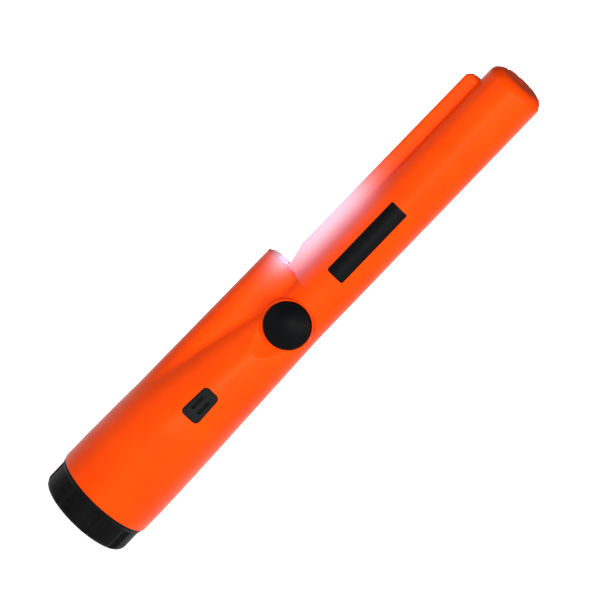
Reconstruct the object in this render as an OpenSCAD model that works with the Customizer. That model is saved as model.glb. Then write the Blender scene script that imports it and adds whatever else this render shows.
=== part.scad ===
// Hand-held pinpointer probe: a moulded casing with a slim sensing nose, a lamp shoulder, a scraping fin,
// a push button, a speaker insert and a screw cap over a block battery.
// Millimetres, +Z along the handle to the tip, origin at the centre of the cap's flat end.
// The button and speaker face -Y. The lamp shoulder and the fin are on the -X side.

/* [Casing] */
// Length from the cap's flat end to the tip
total_length = 235; // [228:1:260]
// Wall of the handle
handle_wall = 2; // [1.6:0.1:3]
// Length of the straight band above the cap joint
band_length = 12; // [8:1:20]
// Radius lost along the handle, from the band to its top
handle_taper = 0.6; // [0.2:0.1:1.2]
// Height at which the handle starts to blend into the nose
handle_top = 50; // [46:1:54]
// Length of the blend from the handle to the nose
blend_length = 62; // [56:1:66]
// Distance from the handle's axis to the nose's axis
nose_offset = 6; // [4:0.1:7]
// Wall of the nose
nose_wall = 2.2; // [1.8:0.1:3]
// Wall at the flat tip
tip_wall = 4; // [3:0.5:8]
// Radius of the tip's edge
tip_round = 4.5; // [2:0.5:6]

/* [Lamp shoulder and fin] */
// Height of the lamp shoulder
shoulder_top = 125; // [120:1:132]
// Thickness of the shoulder's lobe
lobe_thick = 13.2; // [12:0.2:16]
// Distance from the handle's axis to the lobe's outer edge at the shoulder
lobe_reach = 18.8; // [18:0.1:19.3]
// Distance from the handle's axis to the lamp's axis
lamp_reach = 12.2; // [11.5:0.1:12.8]
// Diameter of the lamp
lamp_d = 5; // [3:0.1:5.4]
// Height of the lamp's dome above the shoulder
lamp_proud = 1.2; // [0.6:0.1:2]
// Depth of the lamp's seat under the shoulder
lamp_seat_depth = 9; // [7:0.5:11]
// Reach of the lamp's flange beyond its bore
lamp_flange_lip = 0.4; // [0.3:0.1:0.6]
// Height of the lamp's flange
lamp_flange_h = 1; // [0.6:0.1:2]
// Diameter of the wire pocket under the lamp
lamp_pocket_d = 8.4; // [7.4:0.1:9]
// Length of the wire pocket under the lamp's seat
lamp_pocket_length = 36; // [34:1:40]
// Thickness of the scraping fin
fin_thick = 5; // [3:0.2:7]
// Distance from the nose's axis to the fin's edge near the shoulder
fin_reach = 17.4; // [16:0.1:18.4]
// Reach lost along the fin, from the shoulder to its end
fin_taper = 0.6; // [0:0.1:2.5]
// Gap between the lamp's bore and the fin's foot
fin_lamp_gap = 0.6; // [0.4:0.1:1.5]
// Length of the relief at the fin's foot
fin_relief_length = 10; // [5:1:20]
// Distance from the tip to the fin's end
fin_setback = 10; // [8:0.5:20]
// Radius of the fin's outer corner
fin_round = 2.4; // [1:0.1:4]

/* [Button] */
// Height of the button's axis
button_height = 111; // [108:1:116]
// Diameter of the button
button_d = 18; // [15:0.2:19]
// Gap round the button in its well
button_gap = 0.3; // [0.2:0.05:0.5]
// Travel of the button
button_travel = 0.8; // [0.4:0.1:1]
// Width of the rim round the well
boss_rim = 0.5; // [0.4:0.1:1]
// Height of the rim over the nose
boss_rise = 0.9; // [0.5:0.1:2]
// Wall under the well
well_wall = 1.2; // [1:0.1:1.6]
// Height of the dome over the rim
button_proud = 3.5; // [2:0.1:4.5]
// Thickness of the button's skirt and dome
button_wall = 1.6; // [1:0.1:2]
// Diameter of the button's stem
stem_d = 5; // [4:0.1:6]
// Room under the button at the end of its travel
press_room = 0.4; // [0.2:0.1:0.5]
// Height of the dome's edge over the rim
dome_edge = 0.7; // [0.4:0.1:1.2]
// Depth of the button's hollow roof under the dome's edge
hollow_roof = 0.2; // [0.1:0.1:0.5]
// Thickness of the button's retaining clip
clip_thick = 0.6; // [0.4:0.1:0.8]
// Reach of the clip beyond the stem
clip_lip = 1.7; // [1.2:0.1:2]
// Depth of the clip's groove in the stem
clip_groove = 0.5; // [0.3:0.1:0.8]
// Room round the clip
clip_room = 0.6; // [0.4:0.1:1]
// Thickness of the seal washer in the well
washer_thick = 1; // [0.6:0.1:1.1]
// Room round the seal washer inside the button's skirt
washer_room = 1.5; // [0.5:0.1:2]
// Radius of the thumb scoop under the button
scoop_r = 6.8; // [5:0.1:8]
// Distance from the button's axis down to the scoop's end
scoop_reach = 17; // [15:0.5:19]
// Slope of the scoop's floor against the handle's axis
scoop_slope = 19.5; // [16:0.5:21]

/* [Speaker] */
// Distance from the contact carrier up to the speaker insert's centre
speaker_lift = 9; // [8:0.1:12]
// Distance from the handle's axis to the insert's centre line
speaker_x = 3.4; // [1:0.1:5]
// Width of the insert at its upper end
insert_top_w = 7.2; // [6:0.1:8]
// Width of the insert at its lower end
insert_low_w = 8.4; // [7:0.1:10]
// Height of the insert
insert_h = 13.9; // [12:0.1:16]
// Corner radius of the insert
insert_round = 1.8; // [0.5:0.1:2.4]
// Gap round the insert in its window
insert_gap = 0.1; // [0.05:0.01:0.2]
// Width of a sound slot
slot_w = 1; // [0.6:0.1:1.4]
// Height of a sound slot
slot_h = 5.7; // [4:0.1:8]
// Distance between the two sound slots
slot_pitch = 3.2; // [2:0.1:4]
// Diameter of the buzzer
buzzer_d = 8.8; // [7:0.1:9]
// Height of the buzzer on its board
buzzer_h = 8.5; // [6:0.1:9]
// Diameter of the buzzer's sound hole
buzzer_hole_d = 2; // [1:0.1:3]
// Depth of the buzzer's sound hole
buzzer_hole_depth = 2; // [1:0.1:4]
// Distance the insert stands in from the casing's inner face
insert_stand = 0.4; // [0.2:0.1:0.6]
// Thickness of the sound membrane
membrane_thick = 0.3; // [0.1:0.05:0.5]
// Margin of the membrane inside the insert's upper end
membrane_margin = 0.1; // [0.05:0.05:0.5]
// Margin of the foam gasket inside the buzzer's edge
gasket_margin = 0.2; // [0.1:0.1:0.8]
// Width of the foam gasket's ring
gasket_width = 1.2; // [0.8:0.1:1.8]

/* [Battery] */
// Width of the block battery
battery_w = 26.5; // [25:0.1:28]
// Thickness of the block battery
battery_t = 17.5; // [16:0.1:19]
// Height of the battery's jacket
battery_h = 46.4; // [44:0.1:48]
// Corner radius of the jacket
battery_round = 2; // [1:0.1:3]
// Height of the terminals over the jacket
terminal_h = 2.1; // [1.5:0.1:3]
// Distance between the two terminals
terminal_pitch = 12.7; // [12:0.1:14]
// Diameter of the stud terminal
stud_d = 5.7; // [5:0.1:6.5]
// Diameter of the socket terminal
socket_d = 7.8; // [7:0.1:9]
// Gap round the battery's corners
battery_gap = 0.5; // [0.3:0.1:1]

/* [Battery cap] */
// Height of the cap's visible part
cap_height = 12.4; // [11:0.1:15]
// Thickness of the cap's floor
cap_floor = 4; // [3:0.1:5]
// Step from the rim in to the lobed skirt
cap_step = 0.4; // [0.2:0.1:1.2]
// Height of the plain rim beside the casing
cap_rim = 1.4; // [1:0.1:2.5]
// Step from the casing in to the cap's rim
rim_inset = 0.5; // [0.4:0.05:0.8]
// Radius of the cap's lower edge
cap_round = 2.5; // [1:0.1:4]
// Number of finger grooves
groove_count = 8; // [6:1:10]
// Depth of a finger groove
groove_depth = 0.8; // [0.3:0.1:1.2]
// Radius of a finger groove
groove_r = 4; // [3:0.1:6]
// Angle of the first finger groove, from +X
groove_turn = 11.5; // [0:0.5:45]
// Distance from the rim's step down to the grooves' upper ends
groove_inset = 0.5; // [0.3:0.1:2]
// Length of the threaded spigot inside the casing
spigot_length = 9; // [7:0.5:9.5]
// Wall of the spigot
spigot_wall = 2; // [1.6:0.1:2.5]
// Radial room for the thread between spigot and mouth
thread_room = 0.7; // [0.4:0.1:0.8]
// Thickness of the seal ring's section
seal_d = 1.2; // [0.9:0.1:1.4]
// Gap round the seal ring
seal_gap = 0.1; // [0.05:0.01:0.15]
// Distance from the rim to the seal's groove
seal_inset = 0.4; // [0.3:0.1:1]
// Thickness of the battery pad
pad_thick = 2.5; // [1.5:0.1:4]
// Gap round the battery pad
pad_gap = 0.2; // [0.1:0.05:0.3]

/* [Board and carrier] */
// Width of the circuit board
board_w = 14; // [12:0.1:14.5]
// Thickness of the circuit board
board_thick = 1.6; // [1.2:0.1:2]
// Distance from the nose's axis forward to the board's face
board_front = 2.5; // [2:0.1:2.8]
// Thickness of the contact carrier's disc
carrier_thick = 3; // [2:0.1:4]
// Gap round the carrier's disc
carrier_gap = 0.3; // [0.2:0.05:0.3]
// Thickness of the battery contacts
contact_thick = 0.3; // [0.2:0.05:0.6]
// Diameter of a battery contact
contact_d = 8.4; // [7:0.1:9]
// Width of a carrier rail
rail_w = 2; // [1.5:0.1:2.4]
// Depth of a carrier rail
rail_depth = 3; // [2:0.1:3.5]
// Length of the carrier's rails
rail_length = 86; // [60:1:96]
// Diameter of a screw boss
boss_d = 4.8; // [4.4:0.1:5]
// Length of a screw boss
boss_length = 8; // [7:0.5:10]
// Thickness of the web from a screw boss to the casing
boss_web = 1.8; // [1.2:0.1:2.4]
// Distance from a screw boss to the casing's inner face
boss_inset = 0.9; // [0.7:0.1:1.2]
// Depth of a screw boss's pilot hole
pilot_depth = 7; // [6.5:0.5:7.5]
// Diameter of a carrier screw
screw_d = 2.2; // [1.8:0.1:2.4]
// Diameter of a screw head
screw_head_d = 4.4; // [3.6:0.1:4.6]
// Height of a screw head
screw_head_h = 1.6; // [1:0.1:1.8]
// Length of a screw under its head
screw_length = 8; // [6:0.5:9]
// Clearance of a loose fit
slip = 0.1; // [0.05:0.01:0.15]
// Width of the push switch
switch_w = 6; // [5:0.1:7]
// Height of the push switch on its board
switch_h = 3.5; // [3:0.1:3.8]
// Diameter of the switch plunger
plunger_d = 3.5; // [3:0.1:4]
// Length of the plunger beyond the switch
plunger_proud = 2; // [1.4:0.1:2.2]
// Depth of the plunger in the switch
plunger_depth = 1.4; // [1:0.1:1.8]
// Diameter of a board capacitor
capacitor_d = 6; // [4:0.1:7]
// Height of a board capacitor
capacitor_h = 5.4; // [4:0.1:6.5]

/* [Vibration motor] */
// Diameter of the motor's can
motor_d = 8; // [6:0.1:8.4]
// Length of the motor's can
motor_length = 18; // [14:0.5:20]
// Distance from the carrier to the motor's can
motor_lift = 5.7; // [5.5:0.1:8]
// Diameter of the motor's shaft
shaft_d = 1.5; // [1:0.1:2]
// Radius of the off-centre weight
weight_r = 4.6; // [3.5:0.1:4.8]
// Length of the off-centre weight
weight_length = 5; // [3:0.1:6]
// Running gap between the can and the weight
weight_gap = 1; // [0.6:0.1:2]
// Wall of the weight's hub round the shaft
hub_wall = 0.9; // [0.6:0.1:1.4]
// Length of the shaft inside the can
shaft_seat = 10; // [6:0.5:12]
// Thickness of the motor's saddle between can and board
saddle_floor = 2; // [1:0.1:2.4]
// Width of the saddle
saddle_w = 6; // [5:0.1:7]
// Length of the saddle
saddle_length = 12; // [8:0.5:14]
// Height of the saddle's lips beside the can
saddle_lip = 1.2; // [0.8:0.1:2]

/* [Sensing coil] */
// Diameter of the ferrite rod
rod_d = 8; // [6:0.1:9]
// Wall of the coil former's tube
former_wall = 0.9; // [0.7:0.1:1.4]
// Build height of the windings
winding_build = 2.4; // [1.5:0.1:3]
// Reach of the former's flanges over the windings
flange_lip = 1.8; // [1.4:0.1:2.5]
// Length of the coil former
former_length = 69.5; // [60:0.5:72]
// Thickness of an end flange
flange_thick = 3; // [2:0.1:4]
// Thickness of the middle flange
middle_flange = 2; // [1:0.1:3]
// Length of the sending winding
sending_length = 38; // [30:0.5:42]
// Gap between the former and the nose's bore
former_gap = 0.2; // [0.1:0.05:0.3]
// Thickness of the cushion at the tip
cushion_thick = 1.5; // [1:0.1:3]
// Width of the wire notch in the former's foot beyond the wires' pitch
notch_room = 2; // [1.2:0.1:3]

/* [Wires] */
// Diameter of a battery or lamp wire
wire_d = 1; // [0.6:0.1:1.2]
// Distance between the lamp's two wires
lamp_wire_pitch = 2.5; // [2:0.1:3]
// Drop of the lamp's wires to the board's edge
lamp_wire_drop = 30; // [28:1:34]
// Run of the lamp's wires beside the board's edge
lamp_wire_lead = 6; // [4:0.5:8]
// Distance between the two battery wires
battery_wire_pitch = 7.2; // [6.5:0.1:7.8]
// Distance of the battery wires behind the nose's axis at the carrier
battery_wire_y = 4.5; // [3.5:0.1:6]
// Rise of the battery wires to the board
battery_wire_rise = 5; // [4:0.1:5.5]
// Run of the battery wires behind the board
battery_wire_lead = 2.5; // [1.5:0.1:3]
// Diameter of a coil or motor wire
coil_wire_d = 0.7; // [0.5:0.05:0.9]
// Distance between the motor's two wires
motor_wire_pitch = 2.4; // [1.8:0.1:3]
// Drop of the motor's wires to the board
motor_wire_drop = 2.5; // [2:0.1:3]
// Run of the motor's wires behind the board
motor_wire_lead = 3; // [2:0.1:4]
// Distance between the coil's two wires
coil_wire_pitch = 2; // [1.5:0.1:3]
// Drop of the coil's wires below the former
coil_wire_drop = 9; // [7:0.5:12]
// Run of the coil's wires before the board
coil_wire_lead = 3; // [2:0.1:4]
// Length of the coil's wires along the winding
coil_wire_tail = 5; // [3:0.5:8]
// Straight run of the coil's wires below the former
coil_wire_run = 1; // [0.5:0.1:2]

/* [Hidden] */
$fn = 64;
// Overlap that takes a cut clear of the face it leaves by
over = 1;
// Straight steps in a quarter of a turned or rounded edge
edge_steps = 8;

// Battery, cap and handle, from the battery outwards
battery_r = norm([battery_w / 2 - battery_round, battery_t / 2 - battery_round]) + battery_round;
spigot_in_r = battery_r + battery_gap;
spigot_r = spigot_in_r + spigot_wall;
mouth_r = spigot_r + thread_room;
handle_r = mouth_r + handle_wall;
handle_top_r = handle_r - handle_taper;
bay_r = handle_top_r - handle_wall;
band_top = cap_height + band_length;
spigot_top = cap_height + spigot_length;
rim_r = handle_r - rim_inset;
skirt_r = rim_r - cap_step;
groove_top = cap_height - cap_rim - cap_step - groove_inset;
seal_groove_r = mouth_r - seal_d - 2 * seal_gap;
seal_ring_r = mouth_r - seal_gap - seal_d / 2;
seal_low = cap_height + seal_inset;
seal_high = seal_low + seal_d + 2 * seal_gap;
pad_top = cap_floor + pad_thick;
jacket_top = pad_top + battery_h;
terminal_top = jacket_top + terminal_h;
carrier_low = terminal_top + contact_thick;
carrier_top = carrier_low + carrier_thick;

// Coil and nose, from the rod outwards
former_in_r = rod_d / 2 + slip;
former_r = former_in_r + former_wall;
winding_in_r = former_r + slip / 2;
winding_r = winding_in_r + winding_build;
flange_r = winding_r + flange_lip;
nose_bore_r = flange_r + former_gap;
nose_r = nose_bore_r + nose_wall;
bore_top = total_length - tip_wall;
former_top = bore_top - cushion_thick;
former_low = former_top - former_length;
former_floor = former_low + flange_thick;
middle_low = former_floor + sending_length;
middle_top = middle_low + middle_flange;
former_flange_low = former_top - flange_thick;

// Blend between handle and nose: a cone along a leaning axis
blend_top = handle_top + blend_length;
blend_lean = atan(nose_offset / blend_length);
blend_axis = norm([nose_offset, blend_length]);
// Run of the blend's cone down past the cap joint and up into the nose
blend_run_in = handle_top;
blend_run_out = 5;
form_top = blend_top + 2 * blend_run_out;
function blend_share(z) = (z - handle_top) / blend_length;
function blend_x(z) = nose_offset * blend_share(z);
function blend_in_r(z) = bay_r + (nose_bore_r - bay_r) * blend_share(z);
function blend_out_r(z) = handle_top_r + (nose_r - handle_top_r) * blend_share(z);

// Lamp lobe: its outer edge leans from just inside the handle to its reach at the shoulder
lobe_r = lobe_thick / 2;
lobe_sink = 0.1;
lobe_lap = 2;
lobe_start = handle_top - lobe_lap;
lobe_foot_x = handle_top_r - lobe_sink;
lobe_lean = atan((lobe_foot_x - lobe_reach) / (shoulder_top - lobe_start));
lobe_flat = lobe_foot_x - lobe_r;
lamp_bore_r = lamp_d / 2 + slip;
lamp_seat = shoulder_top - lamp_seat_depth;
lamp_flange_r = lamp_bore_r + lamp_flange_lip;
pocket_low = lamp_seat - lamp_pocket_length;
fin_end = total_length - fin_setback;
fin_foot = nose_offset + lamp_reach - lamp_bore_r - fin_lamp_gap;

// Board and carrier
board_left = nose_offset - board_w / 2;
board_right = nose_offset + board_w / 2;
board_back = board_front - board_thick;
carrier_r = blend_in_r(carrier_top) - carrier_gap;
carrier_x = blend_x(carrier_top);
boss_ring_r = blend_in_r(carrier_top) - boss_d / 2 - boss_inset;
boss_angles = [30, 150];
screw_hole_r = screw_d / 2 + 2 * slip;
pilot_r = screw_d / 2 + slip / 2;

// Button, as distances forward from the nose's axis
spot_face = nose_bore_r;
clip_r = stem_d / 2 + clip_lip;
spot_face_r = clip_r + clip_room;
clip_groove_r = stem_d / 2 - clip_groove;
well_floor = spot_face + well_wall;
well_r = button_d / 2 + button_gap;
boss_r = well_r + boss_rim;
boss_front = nose_r + boss_rise;
skirt_low = well_floor + button_travel + press_room;
button_edge = boss_front + dome_edge;
button_top = boss_front + button_proud;
button_inside = button_edge - hollow_roof;
switch_front = board_front + switch_h;
stem_end = switch_front + plunger_proud;
plunger_end = switch_front - plunger_depth;
plunger_bore_end = plunger_end - button_travel - press_room;
washer_r = button_d / 2 - button_wall - washer_room;
scoop_end = button_height - scoop_reach;

// Speaker stack, as distances forward from the nose's axis
speaker_height = carrier_top + speaker_lift;
insert_back = blend_in_r(speaker_height + insert_h / 2) - insert_stand;
membrane_back = insert_back - membrane_thick;
buzzer_front = board_front + buzzer_h;
membrane_r = insert_top_w / 2 - membrane_margin;
gasket_r = buzzer_d / 2 - gasket_margin;
gasket_in_r = gasket_r - gasket_width;

// Motor, behind the board
motor_low = carrier_top + motor_lift;
motor_top = motor_low + motor_length;
motor_y = saddle_floor + slip / 2 + motor_d / 2 - board_back;
weight_low = motor_top + weight_gap;
weight_top = weight_low + weight_length;
weight_hub_r = shaft_d / 2 + hub_wall;

// Free stretches of the board under and over the switch, and chips as share of the stretch, width, height
// and thickness: two in front of the lower stretch, one in front of the upper one and one behind it
low_stretch = [speaker_height + buzzer_d / 2, button_height - switch_w / 2];
top_stretch = [button_height + switch_w / 2, former_low - coil_wire_drop - coil_wire_d];
low_chips = [[0.3, 7, 9, 1.6], [0.75, 6, 5, 1.2]];
top_chip = [0.5, 7, 8, 1.6];
back_chip = [0.5, 5, 6, 1.2];
capacitor_lifts = [40, 48];
// Wires: sides of a wire and steps along a bend
wire_sides = 8;
bend_steps = 8;
coil_wire_y = winding_r + coil_wire_d / 2 + slip;
notch_w = coil_wire_pitch + notch_room;

function unit(v) = v / norm(v);

// Points of an arc about c from angle a to angle b
function arc(c, r, a, b) = [for (i = [0 : edge_steps])
    let (t = a + (b - a) * i / edge_steps) [c.x + r * cos(t), c.y + r * sin(t)]];

// Outline with every corner of a convex anticlockwise polygon rounded
function rounded(p, r) = [for (i = [0 : len(p) - 1])
    let (q = p[i],
        u = unit(p[(i + len(p) - 1) % len(p)] - q),
        v = unit(p[(i + 1) % len(p)] - q),
        half = acos(u * v) / 2,
        c = q + unit(u + v) * r / sin(half),
        first = q + u * r / tan(half) - c,
        start = atan2(first.y, first.x))
    each arc(c, r, start, start + 180 - 2 * half)];

function rectangle(w, h) = [[-w / 2, -h / 2], [w / 2, -h / 2], [w / 2, h / 2], [-w / 2, h / 2]];

// Points of a smooth bend from a to d, leaving towards b and arriving from c
function bend(a, b, c, d) = [for (i = [0 : bend_steps])
    let (t = i / bend_steps, s = 1 - t) a * s * s * s + b * 3 * s * s * t + c * 3 * s * t * t + d * t * t * t];

// Tube of diameter d along the points, where side is a direction that the route never takes
module wire(points, d, side) {
    last = len(points) - 1;
    rings = [for (i = [0 : last])
        let (t = unit(points[min(i + 1, last)] - points[max(i - 1, 0)]),
            u = unit(cross(side, t)),
            v = cross(t, u))
        for (k = [0 : wire_sides - 1])
            let (a = k * 360 / wire_sides) points[i] + (u * cos(a) + v * sin(a)) * d / 2];
    walls = [for (i = [0 : last - 1], k = [0 : wire_sides - 1])
        let (a = i * wire_sides + k, b = i * wire_sides + (k + 1) % wire_sides)
        each [[a, a + wire_sides, b], [b, a + wire_sides, b + wire_sides]]];
    foot = [for (k = [0 : wire_sides - 1]) k];
    head = [for (k = [wire_sides - 1 : -1 : 0]) last * wire_sides + k];
    polyhedron(rings, concat([foot], walls, [head]));
}

// Shape whose own +Z points out through the casing's front, at a place on the nose's axis
module facing(x, z) {
    translate([x, 0, z]) rotate([90, 0, 0]) children();
}

// Cone along the blend's axis, run on past both ends
module blend(low_r, top_r) {
    slope = (low_r - top_r) / blend_axis;
    translate([0, 0, handle_top]) rotate([0, blend_lean, 0]) translate([0, 0, -blend_run_in])
        cylinder(h = blend_run_in + blend_axis + blend_run_out,
            r1 = low_r + slope * blend_run_in, r2 = top_r - slope * blend_run_out);
}

module outer_blend() {
    blend(handle_top_r, nose_r);
}

// Stadium-shaped lobe that carries the lamp, cut level at the shoulder
module lamp_lobe() {
    outline = concat([[nose_offset, -lobe_r]], [[nose_offset, lobe_r]], arc([-lobe_flat, 0], lobe_r, 90, 270));
    intersection() {
        translate([0, 0, lobe_start]) rotate([0, lobe_lean, 0])
            linear_extrude(shoulder_top - lobe_start + 2 * over) polygon(outline);
        translate([-2 * handle_r, -handle_r, 0]) cube([4 * handle_r, 2 * handle_r, shoulder_top]);
    }
}

// Slanted round cut that lets the thumb find the button
module thumb_scoop() {
    translate([nose_offset, -blend_out_r(scoop_end), scoop_end]) rotate([90 - scoop_slope, 0, 0])
        translate([0, scoop_r, 0]) cylinder(h = 2 * nose_r, r = scoop_r);
}

module nose_solid() {
    profile = concat([[0, blend_top - 2 * blend_run_out], [nose_r, blend_top - 2 * blend_run_out]],
        arc([nose_r - tip_round, total_length - tip_round], tip_round, 0, 90), [[0, total_length]]);
    translate([nose_offset, 0, 0]) rotate_extrude() polygon(profile);
}

// Blade along the nose, relieved beside the lamp and rounded at its end
module fin() {
    edge = fin_reach - fin_taper;
    outline = concat([[0, shoulder_top - over], [fin_foot, shoulder_top - over],
        [fin_foot, shoulder_top], [fin_reach, shoulder_top + fin_relief_length]],
        arc([edge - fin_round, fin_end - fin_round], fin_round, 0, 90), [[0, fin_end]]);
    translate([nose_offset, fin_thick / 2, 0]) mirror([1, 0, 0]) rotate([90, 0, 0])
        linear_extrude(fin_thick) polygon(outline);
}

// Straight band above the cap joint, then a slight taper, trimmed by the blend
module handle_solid() {
    intersection() {
        rotate_extrude() polygon([[0, cap_height], [handle_r, cap_height], [handle_r, band_top],
            [handle_top_r, handle_top], [handle_top_r, form_top], [0, form_top]]);
        outer_blend();
    }
}

module outer_form() {
    difference() {
        union() {
            handle_solid();
            lamp_lobe();
        }
        thumb_scoop();
    }
    nose_solid();
    fin();
    facing(nose_offset, button_height) cylinder(h = boss_front, r = boss_r);
}

// Places its children at the carrier's two screws
module at_screws(z) {
    for (a = boss_angles)
        translate([carrier_x + boss_ring_r * cos(a), boss_ring_r * sin(a), z]) children();
}

// Screw bosses kept standing inside the casing, each with a web to the wall
module screw_posts() {
    at_screws(carrier_top) cylinder(h = boss_length, r = boss_d / 2);
    for (a = boss_angles)
        translate([carrier_x, 0, carrier_top]) rotate([0, 0, a]) translate([boss_ring_r, -boss_web / 2, 0])
            cube([boss_d / 2 + boss_inset + handle_wall, boss_web, boss_length]);
}

// Wall kept behind the button's well and the thumb scoop
module button_pad() {
    facing(nose_offset, button_height) translate([0, 0, spot_face]) {
        cylinder(h = handle_r, r = boss_r);
        translate([-scoop_r, -scoop_reach, 0]) cube([2 * scoop_r, scoop_reach, handle_r]);
    }
}

module inner_form() {
    translate([0, 0, cap_height - over]) cylinder(h = spigot_length + 2 * over, r = mouth_r);
    difference() {
        intersection() {
            translate([0, 0, cap_height]) cylinder(h = form_top - cap_height, r = bay_r);
            blend(bay_r, nose_bore_r);
        }
        button_pad();
        screw_posts();
    }
    translate([nose_offset, 0, blend_top - 2 * blend_run_out])
        cylinder(h = bore_top - blend_top + 2 * blend_run_out, r = nose_bore_r);
    translate([-lamp_reach, 0, pocket_low]) cylinder(h = lamp_seat - pocket_low, r = lamp_pocket_d / 2);
}

// Outline of the speaker insert, wider at its lower end, grown by a margin
module insert_outline(grow) {
    low = insert_low_w / 2 + grow;
    top = insert_top_w / 2 + grow;
    h = insert_h / 2 + grow;
    polygon(rounded([[-low, -h], [low, -h], [top, h], [-top, h]], insert_round));
}

module body_shell() {
    color("#ff5a14") {
        difference() {
            outer_form();
            inner_form();
            at_screws(carrier_top - over) cylinder(h = pilot_depth + over, r = pilot_r);
            facing(nose_offset, button_height) {
                translate([0, 0, well_floor]) cylinder(h = button_proud + boss_front, r = well_r);
                cylinder(h = spot_face, r = spot_face_r);
                cylinder(h = well_floor + over, r = stem_d / 2 + slip);
            }
            facing(speaker_x, speaker_height) translate([0, 0, insert_back - over])
                linear_extrude(handle_r) insert_outline(insert_gap);
            translate([-lamp_reach, 0, lamp_seat - over])
                cylinder(h = lamp_seat_depth + 2 * over, r = lamp_bore_r);
        }
    }
}

module battery_cap() {
    profile = concat([[0, 0]], arc([skirt_r - cap_round, cap_round], cap_round, -90, 0),
        [[skirt_r, cap_height - cap_rim - cap_step], [rim_r, cap_height - cap_rim], [rim_r, cap_height],
        [spigot_r, cap_height], [spigot_r, seal_low], [seal_groove_r, seal_low], [seal_groove_r, seal_high],
        [spigot_r, seal_high], [spigot_r, spigot_top], [spigot_in_r, spigot_top], [spigot_in_r, cap_floor],
        [0, cap_floor]]);
    color("#151718") difference() {
        rotate_extrude() polygon(profile);
        for (i = [0 : groove_count - 1])
            rotate([0, 0, groove_turn + i * 360 / groove_count])
                translate([skirt_r + groove_r - groove_depth, 0, -over])
                    cylinder(h = groove_top + over, r = groove_r);
    }
}

module cap_pad() {
    color("#3a3d40") translate([0, 0, cap_floor]) cylinder(h = pad_thick, r = spigot_in_r - pad_gap);
}

module cap_seal() {
    color("#0b0c0d") translate([0, 0, (seal_low + seal_high) / 2])
        rotate_extrude() translate([seal_ring_r, 0]) circle(d = seal_d);
}

module battery_block() {
    color("#2f3338") translate([0, 0, pad_top])
        linear_extrude(battery_h) polygon(rounded(rectangle(battery_w, battery_t), battery_round));
}

module battery_terminals() {
    color("#c9ccd0") {
        translate([-terminal_pitch / 2, 0, jacket_top]) cylinder(h = terminal_h, d = stud_d);
        translate([terminal_pitch / 2, 0, jacket_top]) cylinder(h = terminal_h, d = socket_d);
    }
}

module battery_contacts() {
    color("#d0b060") for (x = [-1, 1])
        translate([x * terminal_pitch / 2, 0, terminal_top]) cylinder(h = contact_thick, d = contact_d);
}

// Disc behind the battery contacts, with two rails that the board lies on
module contact_carrier() {
    color("#e8e6df") difference() {
        union() {
            translate([carrier_x, 0, carrier_low]) cylinder(h = carrier_thick, r = carrier_r);
            for (x = [board_left, board_right - rail_w])
                translate([x, -board_back, carrier_low])
                    cube([rail_w, rail_depth, carrier_thick + rail_length]);
        }
        at_screws(carrier_low - over) cylinder(h = carrier_thick + 2 * over, r = screw_hole_r);
    }
}

module carrier_screws() {
    color("#b8bcc0") at_screws(carrier_low) {
        cylinder(h = screw_length, d = screw_d);
        translate([0, 0, -screw_head_h]) cylinder(h = screw_head_h, d = screw_head_d);
    }
}

module main_board() {
    color("#1d6b3a") translate([board_left, -board_front, carrier_top])
        cube([board_w, board_thick, former_low - carrier_top]);
}

// Chip on a stretch of the board, with its near face at y
module chip(c, stretch, y) {
    z = stretch[0] + c[0] * (stretch[1] - stretch[0]);
    translate([nose_offset - c[1] / 2, y, z - c[2] / 2]) cube([c[1], c[3], c[2]]);
}

module board_chips() {
    color("#1a1a1c") {
        for (c = low_chips) chip(c, low_stretch, -board_front - c[3]);
        chip(top_chip, top_stretch, -board_front - top_chip[3]);
        chip(back_chip, top_stretch, -board_back);
    }
}

module board_capacitors() {
    color("#b9bec4") for (lift = capacitor_lifts)
        translate([nose_offset, -board_back, carrier_top + lift]) rotate([-90, 0, 0])
            cylinder(h = capacitor_h, d = capacitor_d);
}

module battery_wires() {
    end = carrier_top + battery_wire_rise;
    for (i = [0, 1]) {
        x = nose_offset + (i - 0.5) * battery_wire_pitch;
        foot = [x, battery_wire_y, carrier_top];
        pad = [x, -board_back, end];
        color(["#c02020", "#202022"][i])
            wire(bend(foot, foot + [0, 0, battery_wire_rise / 2], pad + [0, battery_wire_lead, 0], pad),
                wire_d, [1, 0, 0]);
    }
}

module switch_body() {
    color("#26282b") difference() {
        translate([nose_offset - switch_w / 2, -switch_front, button_height - switch_w / 2])
            cube([switch_w, switch_h, switch_w]);
        facing(nose_offset, button_height) translate([0, 0, plunger_bore_end])
            cylinder(h = switch_front - plunger_bore_end + over, r = plunger_d / 2 + slip);
    }
}

module switch_plunger() {
    color("#d8d8d4") facing(nose_offset, button_height) translate([0, 0, plunger_end])
        cylinder(h = stem_end - plunger_end, d = plunger_d);
}

// Domed cap with a skirt and a stem, turned about its own axis
module power_button() {
    r = button_d / 2;
    rise = button_top - button_edge;
    dome_r = (r * r + rise * rise) / (2 * rise);
    dome = arc([0, button_top - dome_r], dome_r, asin((dome_r - rise) / dome_r), 90);
    profile = concat([[0, stem_end], [stem_d / 2, stem_end], [stem_d / 2, spot_face - clip_thick],
        [clip_groove_r, spot_face - clip_thick], [clip_groove_r, spot_face], [stem_d / 2, spot_face],
        [stem_d / 2, button_inside], [r - button_wall, button_inside], [r - button_wall, skirt_low], [r, skirt_low]],
        dome);
    color("#17191b") facing(nose_offset, button_height) rotate_extrude() polygon(profile);
}

module button_clip() {
    color("#9a9ea3") facing(nose_offset, button_height) translate([0, 0, spot_face - clip_thick]) difference() {
        cylinder(h = clip_thick, r = clip_r);
        translate([0, 0, -over]) cylinder(h = clip_thick + 2 * over, r = clip_groove_r + slip / 2);
    }
}

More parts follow.
